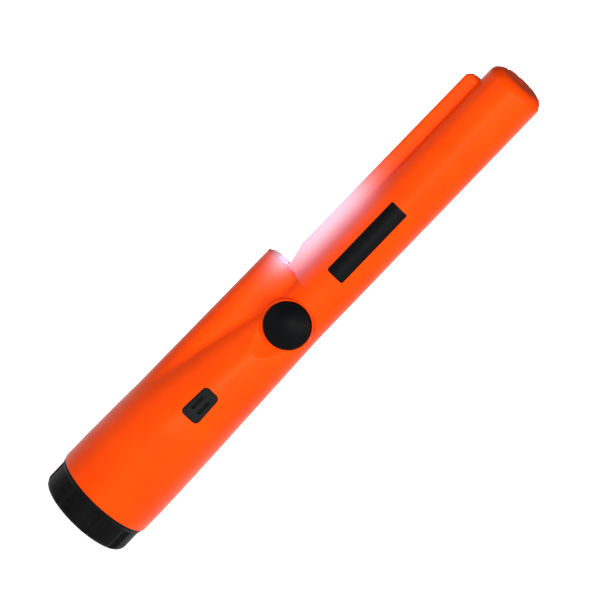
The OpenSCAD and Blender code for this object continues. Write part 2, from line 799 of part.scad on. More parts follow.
module button_seal() {
    color("#0b0c0d") facing(nose_offset, button_height) translate([0, 0, well_floor]) difference() {
        cylinder(h = washer_thick, r = washer_r);
        translate([0, 0, -over]) cylinder(h = washer_thick + 2 * over, r = stem_d / 2 + 2 * slip);
    }
}

// Plug that follows the casing's outer face, with two upright sound slots
module speaker_insert() {
    color("#2a2c30") intersection() {
        facing(speaker_x, speaker_height) translate([0, 0, insert_back]) linear_extrude(handle_r) difference() {
            insert_outline(0);
            for (s = [-0.5, 0.5])
                translate([s * slot_pitch, 0]) polygon(rounded(rectangle(slot_w, slot_h), slot_w / 2 - slip));
        }
        outer_blend();
    }
}

module speaker_membrane() {
    color("#e4e4e0") facing(speaker_x, speaker_height) translate([0, 0, membrane_back])
        cylinder(h = membrane_thick, r = membrane_r);
}

module buzzer_gasket() {
    color("#4a4d50") facing(speaker_x, speaker_height) translate([0, 0, buzzer_front]) difference() {
        cylinder(h = membrane_back - buzzer_front, r = gasket_r);
        translate([0, 0, -over]) cylinder(h = handle_r, r = gasket_in_r);
    }
}

module buzzer() {
    color("#141416") facing(speaker_x, speaker_height) translate([0, 0, board_front]) difference() {
        cylinder(h = buzzer_h, d = buzzer_d);
        translate([0, 0, buzzer_h - buzzer_hole_depth])
            cylinder(h = buzzer_hole_depth + over, d = buzzer_hole_d);
    }
}

// Round-nosed lamp, held by its flange under the shoulder
module lamp() {
    r = lamp_d / 2;
    dome_base = shoulder_top + lamp_proud - r;
    profile = concat([[0, lamp_seat - lamp_flange_h], [lamp_flange_r, lamp_seat - lamp_flange_h],
        [lamp_flange_r, lamp_seat], [r, lamp_seat]], arc([0, dome_base], r, 0, 90));
    color("#f4f6ff") translate([-lamp_reach, 0, 0]) rotate_extrude() polygon(profile);
}

module lamp_wires() {
    start = lamp_seat - lamp_flange_h;
    mid_board = -(board_front + board_back) / 2;
    for (i = [-0.5, 0.5]) {
        head = [-lamp_reach + i * lamp_wire_pitch, 0, start];
        pad = [board_left, mid_board, start - lamp_wire_drop + i * lamp_wire_pitch];
        color("#c8ccd0")
            wire(bend(head, head - [0, 0, lamp_wire_drop], pad - [lamp_wire_lead, 0, 0], pad),
                wire_d, [0, 1, 0]);
    }
}

module vibration_motor() {
    color("#b4b8bd") translate([nose_offset, motor_y, motor_low]) difference() {
        cylinder(h = motor_length, d = motor_d);
        translate([0, 0, motor_length - shaft_seat - over])
            cylinder(h = shaft_seat + 2 * over, r = shaft_d / 2 + slip / 2);
    }
}

module motor_saddle() {
    color("#303338") difference() {
        translate([nose_offset - saddle_w / 2, -board_back, motor_low + (motor_length - saddle_length) / 2])
            cube([saddle_w, saddle_floor + saddle_lip, saddle_length]);
        translate([nose_offset, motor_y, motor_low]) cylinder(h = motor_length, r = motor_d / 2 + slip / 2);
    }
}

module motor_shaft() {
    color("#d6d8da") translate([nose_offset, motor_y, motor_top - shaft_seat])
        cylinder(h = weight_top - motor_top + shaft_seat, d = shaft_d);
}

module motor_weight() {
    color("#8a7a58") translate([nose_offset, motor_y, weight_low]) difference() {
        union() {
            intersection() {
                cylinder(h = weight_length, r = weight_r);
                translate([-weight_r, 0, 0]) cube([2 * weight_r, weight_r + over, weight_length]);
            }
            cylinder(h = weight_length, r = weight_hub_r);
        }
        translate([0, 0, -over]) cylinder(h = weight_length + 2 * over, r = shaft_d / 2 + slip / 2);
    }
}

module motor_wires() {
    for (i = [0, 1]) {
        x = nose_offset + (i - 0.5) * motor_wire_pitch;
        head = [x, motor_y, motor_low];
        pad = [x, -board_back, motor_low - motor_wire_drop];
        color(["#2050b0", "#e0e0dc"][i])
            wire(bend(head, head - [0, 0, motor_wire_drop], pad + [0, motor_wire_lead, 0], pad),
                coil_wire_d, [1, 0, 0]);
    }
}

// Bobbin with a closed foot, open at the tip end, notched for the coil's wires
module coil_former() {
    profile = [[0, former_low], [flange_r, former_low], [flange_r, former_floor], [former_r, former_floor],
        [former_r, middle_low], [flange_r, middle_low], [flange_r, middle_top], [former_r, middle_top],
        [former_r, former_flange_low], [flange_r, former_flange_low], [flange_r, former_top],
        [former_in_r, former_top], [former_in_r, former_floor], [0, former_floor]];
    color("#d9d4c4") translate([nose_offset, 0, 0]) difference() {
        rotate_extrude() polygon(profile);
        translate([-notch_w / 2, -flange_r - over, former_low - over])
            cube([notch_w, flange_r + over - winding_r, flange_thick + 2 * over]);
    }
}

module ferrite_rod() {
    color("#3b3b3d") translate([nose_offset, 0, former_floor])
        cylinder(h = former_top - former_floor - slip, d = rod_d);
}

module winding(low, top) {
    color("#b4602a") translate([nose_offset, 0, low]) difference() {
        cylinder(h = top - low, r = winding_r);
        translate([0, 0, -over]) cylinder(h = top - low + 2 * over, r = winding_in_r);
    }
}

module sending_coil() {
    winding(former_floor, middle_low);
}

module sensing_coil() {
    winding(middle_top, former_flange_low);
}

module coil_wires() {
    for (i = [-0.5, 0.5]) {
        x = nose_offset + i * coil_wire_pitch;
        foot = [x, -coil_wire_y, former_low - coil_wire_run];
        pad = [x, -board_front, former_low - coil_wire_drop];
        color("#a04a20")
            wire(concat([[x, -coil_wire_y, former_floor + coil_wire_tail]],
                bend(foot, foot - [0, 0, coil_wire_drop / 2], pad - [0, coil_wire_lead, 0], pad)),
                coil_wire_d, [1, 0, 0]);
    }
}

module tip_cushion() {
    color("#55585c") translate([nose_offset, 0, former_top]) cylinder(h = cushion_thick, r = flange_r);
}

battery_cap();
cap_pad();
cap_seal();
battery_block();
battery_terminals();
body_shell();
power_button();
button_clip();
button_seal();
switch_body();
switch_plunger();
speaker_insert();
speaker_membrane();
buzzer_gasket();
buzzer();
lamp();
lamp_wires();
contact_carrier();
battery_contacts();
carrier_screws();
main_board();
board_chips();
board_capacitors();
battery_wires();
vibration_motor();
motor_saddle();
motor_shaft();
motor_weight();
motor_wires();
coil_former();
ferrite_rod();
sending_coil();
sensing_coil();
coil_wires();
tip_cushion();
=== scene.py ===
"""Looks of a hand-held pinpointer probe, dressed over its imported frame.

Shapes are worked out in millimetres in the frame's own axes: +Z runs along the handle to the tip, the
button and the speaker face -Y, the lamp shoulder and the scraping fin are on the -X side.
"""

import bpy
import numpy as np
from mathutils import Matrix, Vector


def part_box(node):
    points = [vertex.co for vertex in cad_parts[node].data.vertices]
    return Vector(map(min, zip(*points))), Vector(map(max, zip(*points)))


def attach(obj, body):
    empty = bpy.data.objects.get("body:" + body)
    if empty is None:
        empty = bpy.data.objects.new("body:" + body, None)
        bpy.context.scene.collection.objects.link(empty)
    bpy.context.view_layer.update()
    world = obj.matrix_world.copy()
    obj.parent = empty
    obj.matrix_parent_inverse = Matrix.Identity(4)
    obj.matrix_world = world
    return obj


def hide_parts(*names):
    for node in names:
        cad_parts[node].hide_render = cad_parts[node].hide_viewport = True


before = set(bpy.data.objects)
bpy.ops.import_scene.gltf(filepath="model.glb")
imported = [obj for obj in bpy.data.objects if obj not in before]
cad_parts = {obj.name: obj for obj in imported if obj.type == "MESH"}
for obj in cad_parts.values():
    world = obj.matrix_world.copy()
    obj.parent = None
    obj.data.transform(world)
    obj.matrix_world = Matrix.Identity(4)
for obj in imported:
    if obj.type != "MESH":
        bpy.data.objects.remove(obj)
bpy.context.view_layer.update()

MM = 0.001


def reach_of(node):
    """Lowest and highest corner of a CAD node, in millimetres."""
    low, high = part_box(node)
    return np.array(low) / MM, np.array(high) / MM


# Driving places, read from the frame
CAP_HIGH = reach_of("battery_cap")[1]
SHELL_LOW, SHELL_HIGH = reach_of("body_shell")
KNOB_LOW, KNOB_HIGH = reach_of("power_button")
CLIP_LOW, CLIP_HIGH = reach_of("button_clip")
LAMP_LOW, LAMP_HIGH = reach_of("lamp")
INSERT_LOW, INSERT_HIGH = reach_of("speaker_insert")
FORMER_LOW, FORMER_HIGH = reach_of("coil_former")
PAD_LOW, PAD_HIGH = reach_of("cap_pad")
CUSHION_LOW, CUSHION_HIGH = reach_of("tip_cushion")
GASKET_LOW, GASKET_HIGH = reach_of("buzzer_gasket")

# Casing
JOINT_Z = SHELL_LOW[2]
TIP_Z = SHELL_HIGH[2]
HANDLE_R = SHELL_HIGH[0]
BAND_TOP = JOINT_Z + 12.0
HANDLE_TOP = 50.0
HANDLE_TOP_R = HANDLE_R - 0.6
BLEND_TOP = 112.0
NOSE_X = (FORMER_LOW[0] + FORMER_HIGH[0]) / 2
BORE_R = (FORMER_HIGH[0] - FORMER_LOW[0]) / 2 + 0.2
NOSE_R = BORE_R + 2.2
BORE_TOP = CUSHION_HIGH[2]
BAY_R = HANDLE_TOP_R - 2.0
MOUTH_R = HANDLE_R - 2.0
MOUTH_TOP = CAP_HIGH[2] + 1.0
JOINT_ROUND = 0.3
TIP_ROUND = 4.5
FORM_SOFT = 5.0
FORM_KNOTS = (JOINT_Z, BAND_TOP, HANDLE_TOP, BLEND_TOP, TIP_Z)
GATE_R = 1.3
GATE_DEPTH = 0.3
# A distance from any centre line at which nothing of the casing is left
FAR_OUT = 40.0
HALVINGS = 40
SHARP_ANGLE = np.radians(40)

# Lamp shoulder and fin
SHOULDER_Z = 125.0
LOBE_HALF = 6.6
LOBE_FOOT_Z = 48.0
LOBE_FOOT_X = HANDLE_TOP_R - 0.1
LOBE_FOOT_SINK = 4.0
LOBE_REACH = 18.8
LOBE_RUN = 11.0
LOBE_EDGE = 1.0
LOBE_COVER = 1.0
CREASE_KNOTS = (LOBE_FOOT_Z, LOBE_FOOT_Z + 25.0, SHOULDER_Z - 7.0, SHOULDER_Z)
CREASE_FILLETS = (0.02, 1.6, 1.6, 0.6)
LAMP_X = (LAMP_LOW[0] + LAMP_HIGH[0]) / 2
LAMP_FLANGE = 0.5
LAMP_R = (LAMP_HIGH[0] - LAMP_LOW[0]) / 2 - LAMP_FLANGE
LAMP_BORE_R = LAMP_R + 0.1
LAMP_SEAT_Z = LAMP_LOW[2] + 1.0
LAMP_ROOM_Z = LAMP_LOW[2] - 0.5
LAMP_ROOM_R = LAMP_BORE_R + 0.6
FIN_HALF = 2.5
FIN_FOOT = NOSE_X - LAMP_X - LAMP_BORE_R - 0.6
FIN_ROOT_Z = SHOULDER_Z - 1.0
FIN_REACH = 17.4
FIN_END_REACH = 16.8
FIN_RELIEF = 10.0
FIN_END = TIP_Z - 10.0
FIN_CORNER = 2.4
FIN_EDGE = 1.1
FIN_KNOTS = (SHOULDER_Z, SHOULDER_Z + 4.0)
FIN_FILLETS = (0.3, 0.6)

# Button, as distances forward from the nose's axis
KNOB_X = (KNOB_LOW[0] + KNOB_HIGH[0]) / 2
KNOB_Z = (KNOB_LOW[2] + KNOB_HIGH[2]) / 2
KNOB_R = (KNOB_HIGH[0] - KNOB_LOW[0]) / 2
KNOB_TOP = -KNOB_LOW[1]
KNOB_END = -KNOB_HIGH[1]
KNOB_EDGE = 0.6
DOME_RISE = 2.8
DOME_POWER = 2.2
WELL_R = KNOB_R + 0.3
SEAT_R = WELL_R + 0.5
SEAT_BACK = 5.0
SEAT_FRONT = NOSE_R + 0.9
SEAT_RIM = 0.22
SEAT_LAP = 0.25
SEAT_CUT = 4.0
WELL_FLOOR = BORE_R + 1.2
SKIRT_END = WELL_FLOOR + 1.2
SKIRT_IN_R = KNOB_R - 1.6
KNOB_ROOF = SKIRT_END + 1.2
STEM_R = 2.5
STEM_HOLE_R = STEM_R + 0.1
STEM_NECK_R = STEM_R - 0.5
SCOOP_Z = KNOB_Z - 17.0
SCOOP_DEEPEN = 0.34
SCOOP_DISH_R = 24.0
SCOOP_SOFT = 0.25
# Stretch behind the scoop and the button where the hollow keeps a flat face
BACKED_LOW = SCOOP_Z - 1.0
BACKED_HIGH = KNOB_Z + 10.0

# Speaker insert and label plate
INSERT_X = (INSERT_LOW[0] + INSERT_HIGH[0]) / 2
INSERT_Z = (INSERT_LOW[2] + INSERT_HIGH[2]) / 2
INSERT_HALF_H = (INSERT_HIGH[2] - INSERT_LOW[2]) / 2 - 0.3
INSERT_LOW_HALF = (INSERT_HIGH[0] - INSERT_LOW[0]) / 2 - 0.1
INSERT_TOP_HALF = INSERT_LOW_HALF - 0.6
INSERT_CORNER = 1.8
INSERT_GAP = 0.1
INSERT_CUT = 8.0
INSERT_PROUD = 0.1
INSERT_EDGE = 0.35
SLOT_HALF_W = 0.5
SLOT_HALF_H = 2.85
SLOT_X = 1.5
SLOT_DEPTH = 1.3
SLOT_SLOPE = 0.25
PLATE_Z = 154.2
PLATE_HALF_W = 3.8
PLATE_HALF_H = 17.8
PLATE_CORNER = 0.8
PLATE_PROUD = 0.2
PLATE_EDGE = 0.15
PLATE_SINK = 1.0

# Cap
RIM_R = HANDLE_R - 0.5
RIM_Z = JOINT_Z - 1.4
RIM_BEVEL = 0.1
RIM_ROUND = 0.2
CAP_STEP = 0.4
SKIRT_R = RIM_R - CAP_STEP
CAP_ROUND = 2.5
CAP_END_R = 12.0
CAP_FLOOR = PAD_LOW[2]
GROOVES = 8
GROOVE_R = 3.4
GROOVE_DEPTH = 0.9
GROOVE_TURN = np.radians(11.5)
GROOVE_TOP = RIM_Z - CAP_STEP - 0.5
GROOVE_SOFT = 0.3
GROOVE_FADE = 0.7
GROOVE_FADE_TOP = GROOVE_TOP + 0.2
SPIGOT_R = MOUTH_R - 0.7
SPIGOT_IN_R = (PAD_HIGH[0] - PAD_LOW[0]) / 2 + 0.2
SPIGOT_TOP = CAP_HIGH[2]
SPIGOT_LEAD_IN = 0.4
SPIGOT_IN_BEVEL = 0.2
SEAL_LOW = JOINT_Z + 0.4
SEAL_HIGH = SEAL_LOW + 1.4
SEAL_GROOVE_R = MOUTH_R - 1.4
THREAD_LEAD = 5.0
THREAD_RISE = 0.4
THREAD_RUN_OUT = 0.8
THREAD_LOW = SEAL_HIGH + 0.3
THREAD_HIGH = SPIGOT_TOP - 0.5

# Foam
FOAM_EDGE = 0.4
GASKET_EDGE = 0.1
GASKET_WIDTH = 1.2

# The lit lamp's light painted into the casing as emission: share at full, and lengths over which it fades
BEAM_LENGTH = 42.5
BEAM_END_SOFT = 4.0
BEAM_START_DIP = 0.45
BEAM_START_RUN = 7.0
BEAM_EDGE = 1.0
BEAM_WIDTH = 5.5
LOBE_GLOW = 0.73
LOBE_GLOW_RUN = 3.6
LOBE_GLOW_WIDTH = 3.9
SHELF_GLOW = 0.85
SHELF_GLOW_WIDTH = 3.5
SHELF_BAND = 0.01

# Rows and columns of the casing's grid: stops and the counts between them, closer where the form turns
ANGLE_STOPS = np.radians((0, 140, 162, 198, 220, 360))
ANGLE_COUNTS = (60, 31, 90, 31, 88)
LOW_STOPS = (JOINT_Z + JOINT_ROUND, HANDLE_TOP, 90.0, 121.5, SHOULDER_Z - LOBE_EDGE)
LOW_COUNTS = (18, 60, 80, 6)
HIGH_STOPS = (SHOULDER_Z + 0.15, 137.0, 215.0, FIN_END + 1.5, TIP_Z - TIP_ROUND)
HIGH_COUNTS = (24, 24, 30, 6)
HOLLOW_STOPS = (BORE_TOP - 5.0, 121.0, 88.0, MOUTH_TOP)
HOLLOW_COUNTS = (6, 16, 12)
SHELF_ROWS = 16
SHELF_LEAST = 0.05
SHELF_LIFT = 0.1
HAIR = 1e-4
# Rings on the tip's end, as shares of its flat, and in the gate mark, as shares of its radius and depth
END_SHARES = (1, 0.8, 0.6, 0.4, 0.26)
GATE_SHARES = (1, 0.92, 0.85, 0.4)
GATE_SINKS = (0, 0.5, 1, 1)


# Shapes

def soft_line(z, knots, values, window):
    """Straight stretches between knots, averaged over a window so that they meet without a corner."""
    steps = np.linspace(-window / 2, window / 2, 9)
    return sum(np.interp(z + s, knots, values) for s in steps) / len(steps)


def smooth_min(a, b, k):
    """The smaller of two distances, with a fillet of about k where they are alike."""
    h = np.clip(0.5 + 0.5 * (b - a) / k, 0, 1)
    return b * (1 - h) + a * h - k * h * (1 - h)


def rounded_meet(a, b, edge):
    """Distance to where two distances are both negative, with the corner between them rounded to a radius."""
    p, q = a + edge, b + edge
    return np.minimum(np.maximum(p, q), 0) + np.hypot(np.maximum(p, 0), np.maximum(q, 0)) - edge


def slant(z, half_h, low_half, top_half):
    """Half width of an upright trapezoid at a height z from its middle."""
    return low_half + (top_half - low_half) * (z + half_h) / (2 * half_h)


def form_x(z):
    """X of the casing's centre line: on the handle's axis, then leaning across to the nose's axis."""
    return soft_line(z, FORM_KNOTS, (0, 0, 0, NOSE_X, NOSE_X), FORM_SOFT)


def form_r(z):
    """Radius of the casing's round form at height z: band, slight taper, cone and straight nose."""
    return soft_line(z, FORM_KNOTS, (HANDLE_R, HANDLE_R, HANDLE_TOP_R, NOSE_R, NOSE_R), FORM_SOFT)


def round_form(x, y, z):
    """Distance to the round form: a circle about the centre line, rounded at the tip and the joint."""
    side = np.hypot(x - form_x(z), y) - form_r(z)
    return np.maximum(rounded_meet(side, z - TIP_Z, TIP_ROUND), rounded_meet(side, JOINT_Z - z, JOINT_ROUND))


def lamp_lobe(x, y, z):
    """Distance to the lamp's lobe: a stadium that leaves the handle's own round, narrows and leans in as it
    rises, and is cut level at the shoulder with a rounded edge."""
    edge = np.interp(z, (JOINT_Z, LOBE_FOOT_Z, SHOULDER_Z),
                     (LOBE_FOOT_X - LOBE_FOOT_SINK, LOBE_FOOT_X, LOBE_REACH))
    fade = np.exp((LOBE_FOOT_Z - np.maximum(z, LOBE_FOOT_Z)) / LOBE_RUN)
    half = np.minimum(LOBE_HALF + (LOBE_FOOT_X - LOBE_HALF) * fade, edge)
    near = half - edge
    far = np.maximum(near, np.minimum(NOSE_X, form_x(z) + form_r(z) - half - LOBE_COVER))
    side = np.hypot(x - np.clip(x, near, far), y) - half
    return rounded_meet(side, z - SHOULDER_Z, LOBE_EDGE)


def scraping_fin(x, y, z):
    """Distance to the fin: a blade with a rounded end corner in its own plane and rounded edges across it."""
    reach = np.interp(z, (SHOULDER_Z, SHOULDER_Z + FIN_RELIEF, FIN_END), (FIN_FOOT, FIN_REACH, FIN_END_REACH))
    outline = np.maximum(rounded_meet(NOSE_X - x - reach, z - FIN_END, FIN_CORNER), FIN_ROOT_Z - z)
    return rounded_meet(np.maximum(outline, x - NOSE_X), np.abs(y) - FIN_HALF, FIN_EDGE)


def thumb_scoop(x, y, z):
    """Distance to the scoop: in front of a floor that sinks from the skin as it rises to the button, and is
    dished across."""
    rise = z - SCOOP_Z
    floor = form_r(z) - SCOOP_DEEPEN * rise + (x - NOSE_X) ** 2 / (2 * SCOOP_DISH_R)
    return np.maximum(floor + y, z - KNOB_Z)


def casing_distance(x, y, z):
    """Signed distance to the casing: round form less the scoop, joined to lobe and fin with fillets."""
    body = -smooth_min(-round_form(x, y, z), thumb_scoop(x, y, z), SCOOP_SOFT)
    body = smooth_min(body, lamp_lobe(x, y, z), np.interp(z, CREASE_KNOTS, CREASE_FILLETS))
    return smooth_min(body, scraping_fin(x, y, z), np.interp(z, FIN_KNOTS, FIN_FILLETS))


def leaving(inside, shape):
    """Distances at which rays leave a form: each span from inside to far out is halved until it closes."""
    low, high = np.zeros(shape), np.full(shape, FAR_OUT)
    for _ in range(HALVINGS):
        middle = (low + high) / 2
        held = inside(middle)
        low = np.where(held, middle, low)
        high = np.where(held, high, middle)
    return (low + high) / 2


def casing_reach(angle, z):
    """Distance from the centre line to the casing's skin along a level ray at an angle."""
    x, c, s = form_x(z), np.cos(angle), np.sin(angle)
    return leaving(lambda r: casing_distance(x + r * c, r * s, z) < 0, np.broadcast(angle, z).shape)


def casing_front(x, z):
    """Y of the casing's front skin at x and z."""
    return -leaving(lambda y: casing_distance(x, -y, z) < 0, x.shape)


# Meshes

def spread(stops, counts):
    """Values from the first stop up to, but not with, the last, with a count of them from stop to stop."""
    parts = zip(stops[:-1], stops[1:], counts)
    return np.concatenate([np.linspace(a, b, n, endpoint=False) for a, b, n in parts])


def quarter(steps):
    """Angles of a quarter turn in equal steps, without its end."""
    return np.linspace(0, np.pi / 2, steps, endpoint=False)


def grid_faces(rows, columns, wrap):
    """Quads between neighbouring rows and columns of a grid, round the columns where they wrap."""
    i = np.arange(rows - 1)[:, None]
    j = np.arange(columns if wrap else columns - 1)[None, :]
    k = (j + 1) % columns
    corners = (i * columns + j, i * columns + k, (i + 1) * columns + k, (i + 1) * columns + j)
    return np.stack(np.broadcast_arrays(*corners), -1).reshape(-1, 4)


def fan(ring, pole, upward):
    """Triangles from a ring of points to a pole."""
    after = np.roll(ring, -1)
    pole = np.full_like(ring, pole)
    return np.stack((ring, after, pole) if upward else (after, ring, pole), -1)


def capped(grid, ends):
    """A grid that wraps round on itself, closed by a pole at each of its ends."""
    rows, sides = grid.shape[:2]
    ring = np.arange(sides)
    low, high = fan(ring, rows * sides, False), fan((rows - 1) * sides + ring, rows * sides + 1, True)
    return np.concatenate((grid.reshape(-1, 3), ends)), [grid_faces(rows, sides, True), low, high]


def turned(profile, place, sides, forward=False, closed=False):
    """A profile of (radius, height) carried round an axis through place: upright, or facing forward along -Y.

    A profile that starts and ends on the axis gets a pole at each end; a closed one runs back into itself.
    """
    r, h = np.asarray(profile, float).T
    a = np.arange(sides) * 2 * np.pi / sides
    across, up = np.outer(r, np.cos(a)), np.outer(r, np.sin(a))
    along = np.repeat(h[:, None], sides, 1)
    grid = np.stack((across, -along, up) if forward else (across, up, along), -1) + np.asarray(place, float)
    if not closed:
        return capped(grid[1:-1], grid[[0, -1], 0])
    rows = len(r)
    seam = grid_faces(2, sides, True) % sides + np.array((rows - 1, rows - 1, 0, 0)) * sides
    return grid.reshape(-1, 3), [grid_faces(rows, sides, True), seam]


def arc(centre, radius, start, end, steps=8):
    """Points of an arc about a centre in a profile's plane, angles in degrees."""
    t = np.radians(np.linspace(start, end, steps))
    return np.stack((centre[0] + radius * np.cos(t), centre[1] + radius * np.sin(t)), -1)


def wall(radius, heights):
    """Points of a profile that stand at one radius, at each of the heights."""
    return np.stack((np.full(len(heights), radius), heights), -1)


def rounded_profile(low, high, radius, edge, inner=0.0):
    """Profile of a disc, or of a ring with an inner radius, whose corners are rounded."""
    outer = np.concatenate((arc((radius - edge, low + edge), edge, -90, 0),
                            arc((radius - edge, high - edge), edge, 0, 90)))
    if not inner:
        return np.concatenate(([[0, low]], outer, [[0, high]]))
    return np.concatenate((outer, arc((inner + edge, high - edge), edge, 90, 180),
                           arc((inner + edge, low + edge), edge, 180, 270)))


def mesh_of(name, points, faces):
    """A mesh of points, in millimetres, and of arrays of faces."""
    mesh = bpy.data.meshes.new(name)
    mesh.from_pydata((points * MM).tolist(), [], [face for part in faces for face in part.tolist()])
    return mesh


def piece(name, points, faces, body, finish, nodes=()):
    """Puts points and faces into a mesh object that rides on a body and stands for CAD nodes."""
    mesh = mesh_of(name, points, faces)
    mesh.validate()
    mesh.shade_smooth()
    mesh.materials.append(finish)
    thing = bpy.data.objects.new(name, mesh)
    bpy.context.scene.collection.objects.link(thing)
    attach(thing, body)
    if nodes:
        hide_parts(*nodes)
    return thing


def opened(thing, tools):
    """Cuts closed shapes that stand apart out of a piece by one Boolean, and keeps that as its mesh."""
    points = np.concatenate([tool[0] for tool in tools])
    starts = np.cumsum([0] + [len(tool[0]) for tool in tools[:-1]])
    faces = [part + start for tool, start in zip(tools, starts) for part in tool[1]]
    shape = mesh_of("openings", points, faces)
    cutter = bpy.data.objects.new("openings", shape)
    bpy.context.scene.collection.objects.link(cutter)
    cut = thing.modifiers.new("openings", "BOOLEAN")
    cut.operation, cut.solver, cut.object = "DIFFERENCE", "MANIFOLD", cutter
    bpy.context.view_layer.update()
    whole, finish = thing.data, thing.data.materials[0]
    mesh = bpy.data.meshes.new_from_object(thing.evaluated_get(bpy.context.evaluated_depsgraph_get()))
    thing.modifiers.clear()
    thing.data = mesh
    mesh.name = whole.name
    mesh.materials.clear()
    mesh.materials.append(finish)
    mesh.shade_smooth()
    mesh.set_sharp_from_angle(angle=SHARP_ANGLE)
    bpy.data.objects.remove(cutter)
    bpy.data.meshes.remove(shape)
    bpy.data.meshes.remove(whole)


# Finishes

# Sockets of a colour mix, which go by number because their names repeat
MIX_SHARE, MIX_FIRST, MIX_SECOND = 0, 6, 7


def linear(colour):
    """sRGB hex colour to linear light, by the standard two-part curve."""
    c = np.array([int(colour[i:i + 2], 16) for i in (1, 3, 5)]) / 255
    return (*np.where(c <= 0.04045, c / 12.92, ((c + 0.055) / 1.055) ** 2.4), 1.0)


def per(size):
    """Texture scale on Object coordinates, which are metres, of a pattern with a size in millimetres."""
    return 1 / (size * MM)


def new_finish(name):
    """An empty finish and its shader."""
    finish = bpy.data.materials.new(name)
    finish.use_nodes = True
    return finish, finish.node_tree.nodes["Principled BSDF"]


def add(finish, kind, inputs=None, into=None, **settings):
    """Adds one node with its settings, sets or links its inputs, and links its first output into a socket."""
    tree = finish.node_tree
    node = tree.nodes.new(kind)
    for key, value in settings.items():
        setattr(node, key, value)
    for key, value in (inputs or {}).items():
        if isinstance(value, bpy.types.NodeSocket):
            tree.links.new(value, node.inputs[key])
        else:
            node.inputs[key].default_value = value
    if into is not None:
        tree.links.new(next(o for o in node.outputs if o.enabled), into)
    return node


def mottled(finish, shader, first, second, size):
    """Colour that drifts between two tones in soft clouds of a size in millimetres."""
    place = add(finish, "ShaderNodeTexCoord").outputs["Object"]
    cloud = add(finish, "ShaderNodeTexNoise", {"Vector": place, "Scale": per(size), "Detail": 3.0})
    share = add(finish, "ShaderNodeMapRange", {"Value": cloud.outputs[0], "From Min": 0.35, "From Max": 0.65})
    add(finish, "ShaderNodeMix",
        {MIX_SHARE: share.outputs[0], MIX_FIRST: linear(first), MIX_SECOND: linear(second)},
        shader.inputs["Base Color"], data_type="RGBA")
    return place


def uneven_gloss(finish, shader, place, gloss, size):
    """Roughness that varies between two values in patches of a size in millimetres."""
    patch = add(finish, "ShaderNodeTexNoise", {"Vector": place, "Scale": per(size), "Detail": 4.0})
    add(finish, "ShaderNodeMapRange", {"Value": patch.outputs[0], "From Min": 0.3, "From Max": 0.7,
                                       "To Min": gloss[0], "To Max": gloss[1]}, shader.inputs["Roughness"])


def grain(finish, shader, place, size, depth):
    """Fine relief of a grain size and a depth, both in millimetres."""
    tooth = add(finish, "ShaderNodeTexNoise", {"Vector": place, "Scale": per(size), "Detail": 2.0})
    add(finish, "ShaderNodeBump", {"Height": tooth.outputs[0], "Distance": depth * MM, "Strength": 1.0},
        shader.inputs["Normal"])


def rubbed_edges(finish, shader, worn):
    """Edges rubbed by handling: where the surface bends outwards the colour goes half over to a paler one."""
    bend = add(finish, "ShaderNodeNewGeometry").outputs["Pointiness"]
    edge = add(finish, "ShaderNodeMapRange",
               {"Value": bend, "From Min": 0.52, "From Max": 0.6, "To Max": 0.5})
    base = shader.inputs["Base Color"]
    add(finish, "ShaderNodeMix",
        {MIX_SHARE: edge.outputs[0], MIX_FIRST: base.links[0].from_socket, MIX_SECOND: linear(worn)},
        base, data_type="RGBA")


def moulded(name, first, second, gloss, drift=18.0, tooth=0.6, depth=0.02, ior=1.5, shine=0.15, worn=None):
    """A plastic or rubber from a mould: even colour with a slow drift, uneven gloss and a fine tooth."""
    finish, shader = new_finish(name)
    place = mottled(finish, shader, first, second, drift)
    if worn:
        rubbed_edges(finish, shader, worn)
    uneven_gloss(finish, shader, place, gloss, size=6.0)
    grain(finish, shader, place, tooth, depth)
    shader.inputs["IOR"].default_value = ior
    shader.inputs["Specular IOR Level"].default_value = shine
    return finish


def metal(name, first, second, gloss, tooth=0.3, depth=0.004):
    """A plated, drawn or sintered metal: bright with slightly cloudy tone and fine working marks."""
    finish, shader = new_finish(name)
    place = mottled(finish, shader, first, second, size=4.0)
    uneven_gloss(finish, shader, place, gloss, size=2.0)
    grain(finish, shader, place, tooth, depth)
    shader.inputs["Metallic"].default_value = 1.0
    return finish


def foam(name, first, second):
    """Closed-cell foam: matt, with small rounded cells that cast a fine pitting over its face."""
    finish, shader = new_finish(name)
    place = mottled(finish, shader, first, second, size=5.0)
    cells = add(finish, "ShaderNodeTexVoronoi", {"Vector": place, "Scale": per(0.6)})
    add(finish, "ShaderNodeBump", {"Height": cells.outputs["Distance"], "Distance": 0.15 * MM},
        shader.inputs["Normal"])
    shader.inputs["Roughness"].default_value = 0.9
    return finish


def wound_copper(name):
    """Enamelled copper wire laid in turns: a close ribbing round the former under a glossy amber coat."""
    finish, shader = new_finish(name)
    place = mottled(finish, shader, "#9a4a1c", "#b8622a", size=6.0)
    # Wire of 0.2 mm is too fine to show, so the turns are drawn at 0.5 mm; a wave runs 20 radians a unit
    turns = add(finish, "ShaderNodeTexWave",
                {"Vector": place, "Scale": per(0.5) * 2 * np.pi / 20, "Distortion": 0.2}, bands_direction="Z")
    add(finish, "ShaderNodeBump", {"Height": turns.outputs["Fac"], "Distance": 0.12 * MM},
        shader.inputs["Normal"])
    shader.inputs["Metallic"].default_value = 0.9
    shader.inputs["Roughness"].default_value = 0.3
    return finish


def etched_board(name):
    """Glass-epoxy laminate under green solder mask: paler runs of track show through the mask."""
    finish, shader = new_finish(name)
    place = add(finish, "ShaderNodeTexCoord").outputs["Object"]
    add(finish, "ShaderNodeTexBrick",
        {"Vector": place, "Color1": linear("#1a6336"), "Color2": linear("#1d6d3c"),
         "Mortar": linear("#2c8a50"), "Scale": per(4.0), "Mortar Size": 0.06}, shader.inputs["Base Color"])
    uneven_gloss(finish, shader, place, (0.25, 0.4), size=3.0)
    return finish


